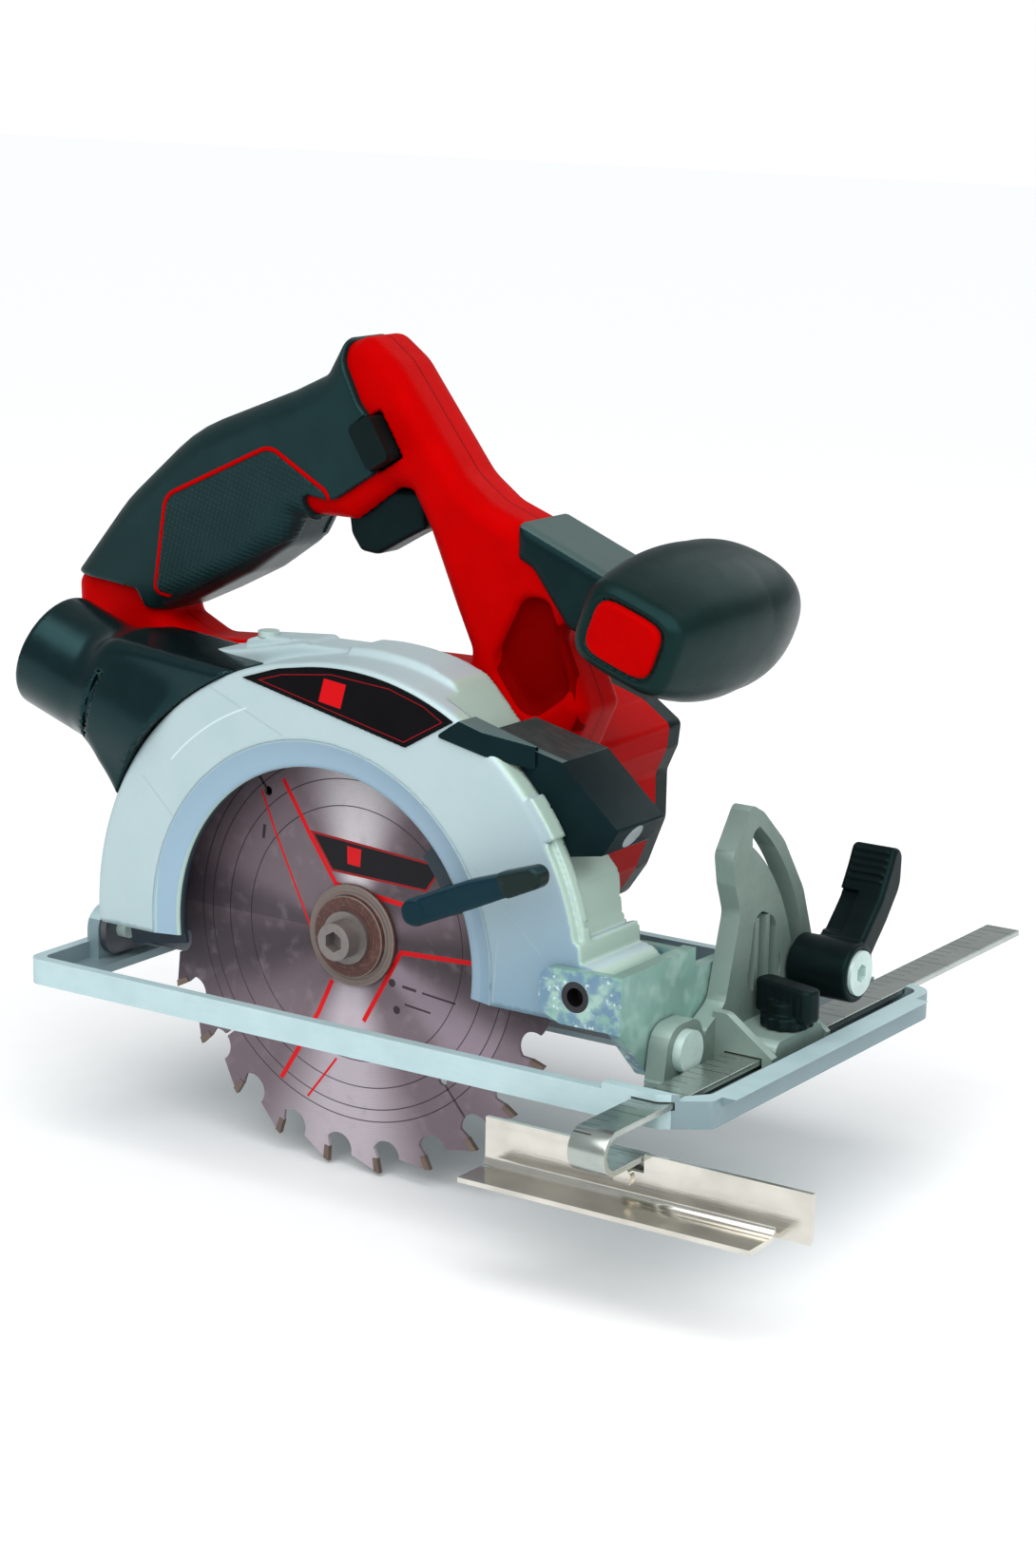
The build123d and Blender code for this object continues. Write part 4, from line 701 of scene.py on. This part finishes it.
def flange_metal():
    """Bronzed flange with turned rings and rusty patches."""
    finish = metal("flange_metal", (0.115, 0.050, 0.042), 0.48, (0.050, 0.025, 0.022), metallic=0.3)
    finish.tint(finish.noise(1.6, 6.0).fade(0.5, 0.65) * 0.6, (0.20, 0.085, 0.060))
    rim = finish.radius().above(13.6) * finish.facing(1).below(-0.5)
    finish.tint(rim * 0.7, (0.22, 0.19, 0.17))
    finish.relief((finish.radius() * 5.0).apply("SINE"), 0.04)
    return finish.material


def label_black():
    """Black printed plate with a plain red square near its middle and a thin red line round it."""
    finish = moulded("label_black", (0.002, 0.0018, 0.0025), 0.40, (0.004, 0.0035, 0.0045), 0.6, 0.005, 0.06)
    mark = [(3.2, 119.4), (12.0, 118.4), (9.8, 110.2), (1.0, 111.6)]
    finish.tint(finish.patch(mark), (0.55, 0.003, 0.006))
    edge = [(-29, 115.3), (-14, 119.9), (6, 122.4), (29, 120.7), (43, 116.6), (52.4, 111.2), (35, 101.3)]
    finish.tint((finish.patch(edge, 1.3) - finish.patch(edge, 1.6)) * 0.8, (0.30, 0.004, 0.008))
    return finish.material


def lens_clear():
    finish = moulded("lens_clear", (0.85, 0.92, 0.95), 0.08, (0.75, 0.85, 0.9), 1.0, 0.005)
    finish.shader.inputs["Transmission Weight"].default_value = 0.6
    return finish.material


def pale_floor():
    return moulded("pale_floor", (0.93, 0.93, 0.93), 0.7, (0.91, 0.91, 0.91), 3.0, 0.02).material


STEELS = {
    "zinc_steel": ((0.55, 0.70, 0.66), 0.34, (1, 1, 1), 0.3),
    "dark_steel": ((0.17, 0.18, 0.20), 0.40, (1, 1, 1)),
    "polished_steel": ((0.74, 0.71, 0.64), 0.14, (0.08, 1, 1)),
    "spring_steel": ((0.32, 0.33, 0.35), 0.3, (1, 1, 1)),
    "gear_steel": ((0.40, 0.40, 0.42), 0.30, (1, 1, 1)),
    "black_steel": ((0.05, 0.05, 0.055), 0.38, (1, 1, 1)),
    "copper_winding": ((0.55, 0.24, 0.11), 0.35, (1, 0.2, 1)),
    "contact_brass": ((0.70, 0.50, 0.22), 0.25, (1, 1, 1)),
}
PLASTICS = {
    "black_plastic": ((0.0035, 0.006, 0.006), 0.38),
    "trigger_plastic": ((0.003, 0.006, 0.007), 0.38),
    "inner_plastic": ((0.05, 0.05, 0.055), 0.5),
    "magnet_ferrite": ((0.05, 0.05, 0.055), 0.6),
    "carbon": ((0.02, 0.02, 0.02), 0.7),
    "board_green": ((0.01, 0.09, 0.03), 0.4),
}
MATERIALS = {
    "base_aluminium": base_metal(),
    "cast_aluminium": cast_metal(),
    "guard_aluminium": guard_lacquer(),
    "lower_guard_aluminium": lower_guard_metal(),
    "bracket_zinc": bracket_metal(),
    "blade_steel": blade_metal(),
    "carbide": carbide(),
    "flange_steel": flange_metal(),
    "red_plastic": red_housing(),
    "inset_red": inset_red(),
    "lever_plastic": lever_plastic(),
    "lamp_plastic": lamp_plastic(),
    "grip_rubber": grip_rubber(),
    "panel_rubber": panel_rubber(),
    "knob_rubber": knob_rubber(),
    "lens_clear": lens_clear(),
    "label_black": label_black(),
}
MATERIALS.update({name: steel(name, *looks) for name, looks in STEELS.items()})
MATERIALS.update({name: black_plastic(name, *looks) for name, looks in PLASTICS.items()})
NODE_MATERIALS = {
    "blade_bolt": steel("bolt_steel", (0.24, 0.215, 0.205), 0.36, (1, 1, 1), 0.6),
    "guide_bar": bar_steel(),
    "guard_screws": MATERIALS["zinc_steel"],
    "depth_pivot_pin": MATERIALS["black_steel"],
    "guide_rivet": MATERIALS["polished_steel"],
}


def dress_cad_nodes():
    """Every CAD node gets a material; its sharp edges are softened where they show."""
    widths = {
        "base_plate": 0.7, "front_casting": 0.7, "pivot_bracket": 0.6, "bevel_lever_screw": 0.4,
        "motor_housing": 2.5, "motor_end_cover": 1.0, "led_housing": 0.9, "depth_lever": 1.5,
        "battery_shoe": 0.6, "guide_bar": 0.3, "guide_fence": 0.3, "outer_flange": 0.4,
        "blade_bolt": 0.4, "gear_housing": 0.8, "gearbox_cover": 0.6, "spindle_lock_button": 0.6,
        "lock_off_button": 0.8, "depth_guide": 0.4, "lower_guard": 0.3,
    }
    for entry in frame["record"]["subparts"]:
        node = NODES[entry["node"]]
        material = NODE_MATERIALS.get(entry["node"]) or MATERIALS[entry["material_slot"]]
        node.data.materials.clear()
        node.data.materials.append(material)
        width = widths.get(entry["node"])
        if width:
            weld = node.modifiers.new("weld", "WELD")
            weld.merge_threshold = 0.00002
            bevel = node.modifiers.new("bevel", "BEVEL")
            bevel.width = width * MM
            bevel.segments = 3
            bevel.limit_method = "ANGLE"
            bevel.angle_limit = math.radians(32)


# ------------ handle
HANDLE = rounded([
    (-137, 106, 6), (-138, 131, 6), (-113, 161, 60), (-83, 187, 60), (-42, 203, 30), (-27, 210, 8),
    (-20, 222, 5), (-12, 225, 6), (-1, 217, 16), (26, 182, 20), (37, 174, 12), (52, 168.5), (93, 152),
    (93, 139), (63, 139, 6), (76, 111, 4), (68, 93), (-20, 93), (-60, 98, 20), (-100, 104)])
FINGERS = rounded([
    (-101, 123.5, 2.5), (-80, 133, 20), (-62, 142, 20), (-46, 153, 12), (-40, 163.5, 3), (-17, 163.5, 3),
    (0.5, 176, 4), (6, 175.5, 3), (13, 164, 8), (24, 139, 20), (33, 120, 5), (-50, 118, 10),
    (-84, 115.5, 12)])
GRIP_ZONE = rounded([
    (-160, 136), (-160, 240), (-20, 240), (-19, 217, 4), (-12, 203, 6), (3, 187, 3), (-6, 180, 4),
    (-22, 170, 5), (-36, 172, 3), (-30, 150), (-70, 128), (-91, 123), (-103, 125), (-107, 131, 3)])
GRIP_PANEL = rounded([
    (-98, 131, 3), (-93, 165, 8), (-48, 186, 8), (-21, 171, 4), (-33, 159, 8), (-62, 143, 8), (-88, 129, 8)])
CHANNEL = rounded([(40, 122, 8), (52, 146, 6), (62, 146, 5), (70, 116, 6), (54, 104, 8)])
TRIGGER_SIDE = rounded([
    (-23.5, 168.3, 1), (-22, 158, 6), (-18, 152.5, 3), (-11, 151.8, 6), (-1, 157.5, 12), (8.3, 162.5, 1.5),
    (7.5, 174.6, 1.5), (-7.5, 174.6, 2), (-13, 168.3)])
SLEEVE = rounded([(50, 171, 2), (96, 152.5, 2), (96, 132, 2), (70, 137, 8), (56, 155, 4), (50, 158, 2)])


def handle_flat(x, z):
    return cut(polygon(HANDLE, x, z), polygon(FINGERS, x, z))


def handle_field(x, y, z):
    """D-handle with rounded rims and a scooped channel in the web."""
    body = slab(handle_flat(x, z), y, HANDLE_Y, HANDLE_HALF, 7.0)
    scoop = slab(polygon(CHANNEL, x, z), y, HANDLE_Y - HANDLE_HALF, 5.0, 4.0)
    return cut(carve(body, scoop, 3.0), button_room(x, y, z))


def button_room(x, y, z):
    """Space in the handle for the trigger's and the lock-off button's travel."""
    trigger = overlap(within(x, -8.0, 17.0), within(z, 166.0, 18.0), within(y, HANDLE_Y, 7.0))
    u, v = turned(x + 5.0, z - 191.0, BUTTON_TILT)
    button = overlap(within(u, 0.0, 5.9), within(v, 0.0, 8.9), within(y, HANDLE_Y - 1.0, 20.0))
    return np.minimum(trigger, button)


def grip_field(x, y, z):
    """Rubber skin over the rear part of the handle."""
    skin = slab(handle_flat(x, z) - 1.6, y, HANDLE_Y, GRIP_HALF, 9.0)
    zone = polygon(GRIP_ZONE, x, z)
    return cut(-join(-skin, -zone, 1.2), button_room(x, y, z))


def trigger_field(x, y, z):
    return slab(polygon(TRIGGER_SIDE, x, z), y, HANDLE_Y, TRIGGER_HALF, 2.0)


def build_handle():
    room = GRIP_HALF + 2.5
    near, far = HANDLE_Y - room, HANDLE_Y + room
    shell = mould("handle_body", handle_field, (-142, near, 88), (97, far, 229), 1.0, 0.5)
    dress(shell, "saw_unit", "red_plastic", "handle_shell_right", "handle_shell_left")
    grip = mould("grip_skin", grip_field, (-142, near, 112), (8, far, 229), 0.9, 0.6)
    dress(grip, "saw_unit", "grip_rubber", "grip_cover")
    blade = mould("trigger_blade", trigger_field, (-26, 23, 149), (11, 39, 181), 0.6, 0.6)
    dress(blade, "trigger", "trigger_plastic", "trigger")

    def pad(x, y, z):
        proud = overlap(grip_field(x, y, z) - 0.45, polygon(GRIP_PANEL, x, z) + 0.8)
        return cut(proud, within(y, HANDLE_Y, 7.0))

    def line(x, y, z):
        above_edge = (132.0 + (x + 88.0) * 0.545) - z
        proud = overlap(grip_field(x, y, z) - 0.35, within(polygon(GRIP_PANEL, x, z), 0.0, 0.75))
        return cut(overlap(proud, above_edge), within(y, HANDLE_Y, 9.0))

    low, high = (-102, near, 124), (-16, far, 190)
    dress(mould("grip_pads", pad, low, high, 0.7, 0.6), "saw_unit", "panel_rubber", "grip_panels")
    dress(mould("grip_lines", line, low, high, 0.5, 0.6), "saw_unit", "inset_red")


def sleeve_field(x, y, z):
    """Black sleeve over the handle's front arm, between the red web and the knob."""
    return slab(polygon(SLEEVE, x, z), y, HANDLE_Y, SLEEVE_HALF, 4.5)


def build_sleeve():
    sleeve = mould("arm_sleeve", sleeve_field, (47, 13, 129), (99, 49, 174), 0.9, 0.5)
    dress(sleeve, "saw_unit", "black_plastic", "front_arm_sleeve", material=sleeve_plastic())


# ------------ front knob
def knob_section(y):
    """Half sizes, along and across, and squareness of the knob's section at each y."""
    middle, near, far = 32.0, KNOB[1] - KNOB_HALF, KNOB[1] + KNOB_HALF
    near_share = np.clip((middle - y) / (middle - near), 0.0, 1.0)
    far_share = np.clip((y - middle) / (far - middle), 0.0, 1.0)
    wide = KNOB_WIDE - 7.0 * near_share ** 2 - 9.0 * far_share ** 2.2
    high = KNOB_HIGH - 10.5 * near_share ** 1.8 - 9.0 * far_share ** 2.2
    return wide, high, 2.4 + 1.9 * near_share


def knob_flat(x, y, z):
    """Distance-like field of the knob's rounded-square section."""
    wide, high, square = knob_section(y)
    u, v = turned(x - KNOB[0] - 1.0, z - KNOB[2] - 0.5, KNOB_TURN)
    size = (np.abs(u / wide) ** square + np.abs(v / high) ** square + 1e-9) ** (1 / square)
    return (size - 1.0) * np.minimum(wide, high)


def knob_field(x, y, z):
    """Knob with a shallow well for the near inset."""
    flat = knob_flat(x, y, z)
    well = slab(flat + 2.7, y, KNOB[1] - KNOB_HALF, 1.6, 0.6)
    return carve(slab(flat, y, KNOB[1], KNOB_HALF, 5.0), well, 1.0)


def near_inset_field(x, y, z):
    return slab(knob_flat(x, y, z) + 3.7, y, KNOB[1] - KNOB_HALF + 0.9, 1.4, 0.9)


def far_inset_field(x, y, z):
    return slab(knob_flat(x, y, z) + 5.2, y, KNOB[1] + KNOB_HALF - 0.9, 1.3, 0.9)


def build_knob():
    knob = mould("knob_body", knob_field, (82, -20, 114), (140, 68, 174), 0.9, 0.6)
    dress(knob, "saw_unit", "knob_rubber", "front_knob")
    near = surface("knob_inset_near", near_inset_field, (90, -20, 124), (134, -14, 164), 0.6)
    dress(near, "saw_unit", "inset_red", "knob_insets")
    far = surface("knob_inset_far", far_inset_field, (90, 62, 124), (134, 68, 164), 0.6)
    dress(far, "saw_unit", "inset_red")


# ------------ dust port
def port_parts(x, y, z):
    """Distance along the port's axis from its mouth, and distance from that axis."""
    along, across = turned(x - PORT_END[0], z - PORT_END[2], -PORT_RISE)
    dy = y - PORT_END[1]
    return along, np.sqrt(dy * dy + across * across)


def port_throat(along, around):
    """Passage for the dust, from the port into the guard."""
    return overlap(around - PORT_THROAT_R, along - PORT_THROAT_END)


PORT_FOOT = rounded([
    (-99, 90, 8), (-94, 78, 5), (-86, 66, 3), (-60, 70), (-38, 100), (-29, 113), (-36, 116.5, 2),
    (-58, 118.5, 10), (-78, 120.5, 10), (-92, 121, 8)])


def port_field(x, y, z):
    """Tube with a groove round it, joined to a foot that lies on the guard's drum."""
    along, around = port_parts(x, y, z)
    tube = slab(around - PORT_R, along, PORT_HALF, PORT_HALF, 1.2)
    foot = slab(polygon(PORT_FOOT, x, z), y, CASTING_Y, CASTING_HALF, 4.0)
    groove = np.hypot(around - PORT_R - 0.4, along - PORT_GROOVE) - 1.1
    bore = overlap(around - PORT_BORE_R, along - PORT_BORE_END)
    rear = np.hypot(x, z - SPINDLE_Z) - GUARD_R - 0.1
    front = np.hypot(x - DRUM_SHIFT_X, z - SPINDLE_Z - DRUM_SHIFT_Z) - GUARD_R - 0.1
    return cut(join(tube, foot, 9.0), groove, bore, port_throat(along, around), rear, front)


def build_port():
    port = mould("port_body", port_field, (-142, -28, 60), (-26, 18, 136), 0.9, 0.6)
    dress(port, "saw_unit", "black_plastic", "dust_port", material=port_plastic())


# ------------ levers
FINGER_SIDE = rounded([
    (51.8, -4.6, 4.2), (78, -5.6, 3), (105, -6.2, 3), (108.5, -0.5, 3), (80, 3.4, 3), (52, 4.4, 4.2)])
PADDLE_SIDE = rounded([
    (-2, 4), (7.5, 9, 4), (19, 20, 8), (24.5, 29, 10), (28, 36, 2.5), (33.5, 34.5, 4), (33, 22, 10),
    (24, 11.5, 10), (13, 1, 6), (4, -4)])
WING_TOP = rounded([(-12, -4, 3), (12, -4, 3), (12, 4, 3), (-12, 4, 3)])


def finger_lever_field(x, y, z):
    """Arm with a thicker tip, on a ringed post that reaches in to the lower guard."""
    u, v = turned(x, z - SPINDLE_Z, LEVER_RISE)
    outline = polygon(FINGER_SIDE, u, v)
    arm = slab(outline, y, LEVER_Y, 3.5, 1.8)
    tip = slab(outline - 0.5, y, LEVER_Y, 3.9, 1.8)
    arm = np.minimum(arm, overlap(tip, LEVER_TIP_R + 0.6 - u))
    around = np.hypot(u - LEVER_POST, v) - LEVER_POST_R
    post = overlap(around, y + 14.0, -39.0 - y)
    rings = np.hypot(around, np.mod(y + 14.0, 3.0) - 1.5) - 0.45
    post = np.minimum(post, overlap(rings, y + 15.0, -31.0 - y))
    return join(arm, post, 1.5)


def bevel_lever_field(x, y, z):
    """Barrel on the bevel bolt with a broad ribbed paddle that leans away from the blade."""
    u, v = y - BEVEL_BOLT[0], z - BEVEL_BOLT[1]
    around = np.hypot(u, v)
    section = polygon(PADDLE_SIDE, u, v)
    pocket = overlap(within(x, 134.5, 4.2), -section - 2.4, within(v, 15.5, 6.0), u - v - 6.0)
    arm = cut(slab(section, x, PADDLE_X, PADDLE_HALF, 1.6), pocket)
    ribs = 0.35 * np.cos(2 * math.pi * v / 2.2) * ((v > 23.5) & (v < 35)) * (within(x, 139.5, 6.2) < 0)
    barrel = slab(around - BARREL_R, x, BARREL_X, BARREL_HALF, 1.2)
    cap = overlap(around - CAP_R, CAP_X - x)
    return cut(join(arm + ribs, barrel, 1.6), cap, around - BEVEL_BOLT_R)


def clamp_knob_field(x, y, z):
    """Wing knob of the guide clamp."""
    dx, dy = x - CLAMP_X, y - CLAMP_Y
    u, v = turned(dx, dy, WING_TURN)
    around = np.hypot(dx, dy)
    wing = slab(polygon(WING_TOP, u, v), z, WING_Z, WING_HALF, 1.4)
    grooves = np.hypot(np.mod(u + 1.5, 3.0) - 1.5, np.abs(v) - 4.2) - 0.5
    wing = cut(wing, overlap(grooves, within(z, WING_Z, WING_HALF - 2.0)))
    hub = slab(around - HUB_R + 0.35 * np.cos(12 * np.arctan2(dy, dx)), z, 15.5, 2.0, 0.8)
    neck = slab(around - NECK_R, z, 17.5, 4.0, 0.5)
    thread = overlap(around - THREAD_R, 8.9 - z, z - 14.0)
    return np.minimum(join(join(hub, neck, 1.0), wing, 1.2), thread)


def build_levers():
    finger = mould("finger_lever", finger_lever_field, (36, -41, 40), (106, -12, 90), 0.6, 0.7)
    dress(finger, "lower_guard", "lever_plastic", "guard_lever")
    low, high = (127, BEVEL_BOLT[0] - 12, BEVEL_BOLT[1] - 12), (153, BEVEL_BOLT[0] + 36, BEVEL_BOLT[1] + 39)
    clamp = mould("bevel_handle", bevel_lever_field, low, high, 0.55, 0.7)
    dress(clamp, "bevel_clamp", "black_plastic", "bevel_lever")
    low, high = (CLAMP_X - 14, CLAMP_Y - 14, 8), (CLAMP_X + 14, CLAMP_Y + 14, 29)
    knob = mould("guide_knob", clamp_knob_field, low, high, 0.5, 0.7)
    dress(knob, "guide_clamp", "black_plastic", "guide_clamp_knob")


# ------------ guard
GUARD_LEG = rounded([(90, 20), (90, 44, 4), (107, 50), (112, 40), (112, 20)])
GUARD_BACK = rounded([
    (-120, 0), (-120, 140), (30, 140), (30, 125), (42, 120.5, 8), (52, 110, 4), (94, 63, 6), (95.5, 50, 8),
    (103, 38), (130, 38), (130, 0)])
GUARD_FIN = rounded([
    (-69, 114.5, 1.5), (-60, 118, 3), (-46, 120, 10), (-22, 125, 10), (6, 125.5, 4), (6, 110),
    (-30, 105), (-52, 104)])
GUARD_RIB = rounded([(-50, 112), (-47, 122.5, 1.5), (-43, 124, 1), (-18, 126, 1.5), (-14, 118)])
LABEL_PLATE = rounded([
    (-30.5, 115.4), (-13.5, 121, 60), (6.5, 124, 60), (29.4, 122, 60), (43, 118, 60), (54, 112),
    (35.2, 101, 0.8)])


def drum(x, z):
    """Distance outside the line between the drum's two centres."""
    shift = DRUM_SHIFT_X ** 2 + DRUM_SHIFT_Z ** 2
    share = np.clip((x * DRUM_SHIFT_X + (z - SPINDLE_Z) * DRUM_SHIFT_Z) / shift, 0.0, 1.0)
    return np.hypot(x - DRUM_SHIFT_X * share, z - SPINDLE_Z - DRUM_SHIFT_Z * share)


def guard_field(x, y, z):
    """Cast guard: a drum open downwards, its outer face cut away in a round, dished window."""
    reach = drum(x, z)
    around = np.hypot(x, z - SPINDLE_Z)
    pivot = np.hypot(x - PIVOT_X, z - PIVOT_Z)
    turn = np.degrees(np.arctan2(z - (SPINDLE_Z + DRUM_SHIFT_Z), x - DRUM_SHIFT_X))
    back = polygon(GUARD_BACK, x, z)
    solid = within(y, CASTING_Y, CASTING_HALF)
    hollow = within(y, CASTING_Y, CASTING_HALF - GUARD_WALL)

    # Drum with its crest, fin, rib and front pad.
    body = slab(reach - GUARD_R, y, CASTING_Y, CASTING_HALF, 2.6)
    crest = slab(reach - GUARD_R - CREST_HIGH, y, 3.75, 9.75, 2.2)
    body = join(body, overlap(crest, within(turn, 76.0, 19.0), -6.0 - y), 2.0)
    body = join(body, slab(polygon(GUARD_FIN, x, z), y, 5.0, 8.5, 2.0), 1.2)
    body = join(body, slab(polygon(GUARD_RIB, x, z), y, 7.0, 6.5, 1.0), 1.0)
    pad = slab(reach - GUARD_R - 1.8, y, -17.5, 4.0, 0.7)
    body = join(body, overlap(pad, within(turn, 35.5, 4.5), within(y, -17.5, 4.0)), 0.5)
    body = overlap(body, np.minimum(back, y + 14.0))

    # Front step and ledge, and the hollow inside.
    step = overlap(GUARD_R - 1.6 - reach, within(turn, 14.0, 17.0), y + 18.6)
    ledge = overlap(within(z, 52.5, 1.0), within(y, -9.0, 7.0), 93.0 - x)
    cavity = overlap(reach - GUARD_R + 4.0, hollow, x * 0.745 + z * 0.666 - 107.3)
    body = cut(body, step, ledge, cavity)

    # Front wall, leg and pivot boss.
    wall = overlap(within(back, -2.0, 2.0), within(y, -0.75, 14.25), 45.0 - x, 37.0 - z)
    leg = overlap(polygon(GUARD_LEG, x, z), reach - GUARD_R, solid)
    boss = overlap(pivot - PIVOT_BOSS_R, solid)
    body = reduce(np.minimum, (body, wall, leg, boss))

    # Openings, and the level foot.
    blade_room = overlap(around - BLADE_ROOM_R, hollow)
    window = overlap(around - DISH_R, y)
    gear_hole = overlap(around - GEAR_HOLE_R, 9.5 - y)
    along, off_axis = port_parts(x, y, z)
    body = overlap(body, np.where(x > 91.5, 21.5, GUARD_FOOT_Z) - z)
    return cut(body, blade_room, window, gear_hole, pivot - PIVOT_BORE_R, port_throat(along, off_axis))


def label_field(x, y, z):
    flat = overlap(polygon(LABEL_PLATE, x, z), drum(x, z) - GUARD_R + 1.5)
    return slab(flat, y, GUARD_FACE_Y + 0.05, 0.6, 0.12)


def window_ring():
    """Dished rim of the guard's window, turned about the spindle and cut level with the guard's foot."""
    profile = [(DISH_R + 0.6, -21.6), (DISH_R + 0.3, -22.0), (DISH_R - 0.2, -21.95), (DISH_R - 0.5, -21.7),
               (62.0, -19.9), (60.6, -19.5), (WINDOW_R, -18.9), (WINDOW_R, -16.0), (DISH_R + 0.6, -16.0)]
    parts = 180
    points, faces = [], []
    for part in range(parts + 1):
        for radius, y in profile:
            below = math.asin((SPINDLE_Z - GUARD_FOOT_Z) / radius)
            angle = -below + (math.pi + 2 * below) * part / parts
            points.append((radius * math.cos(angle), y, SPINDLE_Z + radius * math.sin(angle)))
    count = len(profile)
    for first in range(0, parts * count, count):
        for index in range(count):
            after = (index + 1) % count
            faces.append((first + index, first + after, first + count + after, first + count + index))
    return mesh_piece("guard_window_ring", points, faces)


def build_guard():
    guard = mould("guard_body", guard_field, (-98, -24, 19), (116, 16, 129), 1.0, 0.5)
    dress(guard, "saw_unit", "guard_aluminium", "upper_guard")
    plate = mould("label_skin", label_field, (-32, -23, 99), (54, -21, 125), 0.5, 0.3)
    dress(plate, "saw_unit", "label_black", "label_plate")
    dress(window_ring(), "saw_unit", "guard_aluminium")


LAMP_TONGUE = rounded([(47, 106.4, 0.8), (56, 112.6, 1), (82, 105.5, 1), (82, 98, 1), (69, 101.8, 1)])


def tongue_field(x, y, z):
    """Flat end of the lamp housing that laps over the guard's face."""
    slant = (x - 65.0) * 0.48 - (y + 22.9) * 0.88
    return overlap(slab(polygon(LAMP_TONGUE, x, z), y, -18.0, 4.9, 0.5), slant)


def build_lamp_tongue():
    tongue = mould("lamp_tongue", tongue_field, (44, -24, 99), (80, -12, 115), 0.45, 0.4)
    dress(tongue, "saw_unit", "lamp_plastic")


# ------------ stage
def build_stage():
    """Pale floor, pale world and soft lights."""
    size = 6000.0
    corners = [(-size, -size, FLOOR_Z), (size, -size, FLOOR_Z), (size, size, FLOOR_Z), (-size, size, FLOOR_Z)]
    floor = mesh_piece("floor", corners, [(0, 1, 2, 3)])
    floor.data.materials.append(pale_floor())
    world = bpy.data.worlds.new("studio")
    bpy.context.scene.world = world
    world.use_nodes = True
    tree = world.node_tree
    soft = tree.nodes["Background"]
    soft.inputs["Color"].default_value = (0.93, 0.98, 1.0, 1)
    soft.inputs["Strength"].default_value = 0.42
    backdrop = tree.nodes.new("ShaderNodeBackground")
    backdrop.inputs["Color"].default_value = (1.0, 1.0, 1.0, 1)
    path = tree.nodes.new("ShaderNodeLightPath")
    either = tree.nodes.new("ShaderNodeMixShader")
    tree.links.new(path.outputs["Is Camera Ray"], either.inputs[0])
    tree.links.new(soft.outputs[0], either.inputs[1])
    tree.links.new(backdrop.outputs[0], either.inputs[2])
    tree.links.new(either.outputs[0], tree.nodes["World Output"].inputs["Surface"])
    add_light("sun", "SUN", 2.85, (0, 0, 0), (-0.22, 0.62, -0.85)).angle = math.radians(70)
    middle = Vector((0.02, 0.02, 0.06))
    for name, place, width, power in (("side", (0.95, -0.35, 0.45), 0.7, 2.0),
                                      ("back", (0.25, 0.95, 0.85), 0.9, 3.0)):
        add_light(name, "AREA", power, place, middle - Vector(place)).size = width


def add_light(name, kind, power, place, direction):
    """Lamp that shines along a direction; the new light's data comes back."""
    light = bpy.data.lights.new(name, kind)
    light.energy = power
    lamp = bpy.data.objects.new(name, light)
    lamp.location = place
    lamp.rotation_euler = Vector(direction).to_track_quat("-Z", "Y").to_euler()
    bpy.context.scene.collection.objects.link(lamp)
    return light


def build_camera():
    """Long lens from the front left and above, with a slight roll."""
    place = Vector((0.63197, -0.85523, 0.33293))
    target = Vector((0.0637, 0.0, 0.0893))
    back = (place - target).normalized()
    right = Vector((0, 0, 1)).cross(back).normalized()
    up = back.cross(right)
    roll = math.radians(1.1)
    across = right * math.cos(roll) + up * math.sin(roll)
    above = up * math.cos(roll) - right * math.sin(roll)
    data = bpy.data.cameras.new("camera")
    data.lens = 76.06
    data.sensor_width = 36.0
    data.clip_start = 0.01
    camera = bpy.data.objects.new("camera", data)
    turn = Matrix((across, above, back)).transposed().to_4x4()
    camera.matrix_world = Matrix.Translation(place) @ turn
    bpy.context.scene.collection.objects.link(camera)
    bpy.context.scene.camera = camera


bpy.context.scene.view_settings.view_transform = "Standard"
dress_cad_nodes()
build_handle()
build_sleeve()
build_knob()
build_port()
build_levers()
build_guard()
build_lamp_tongue()
build_stage()
build_camera()
bpy.context.view_layer.update()
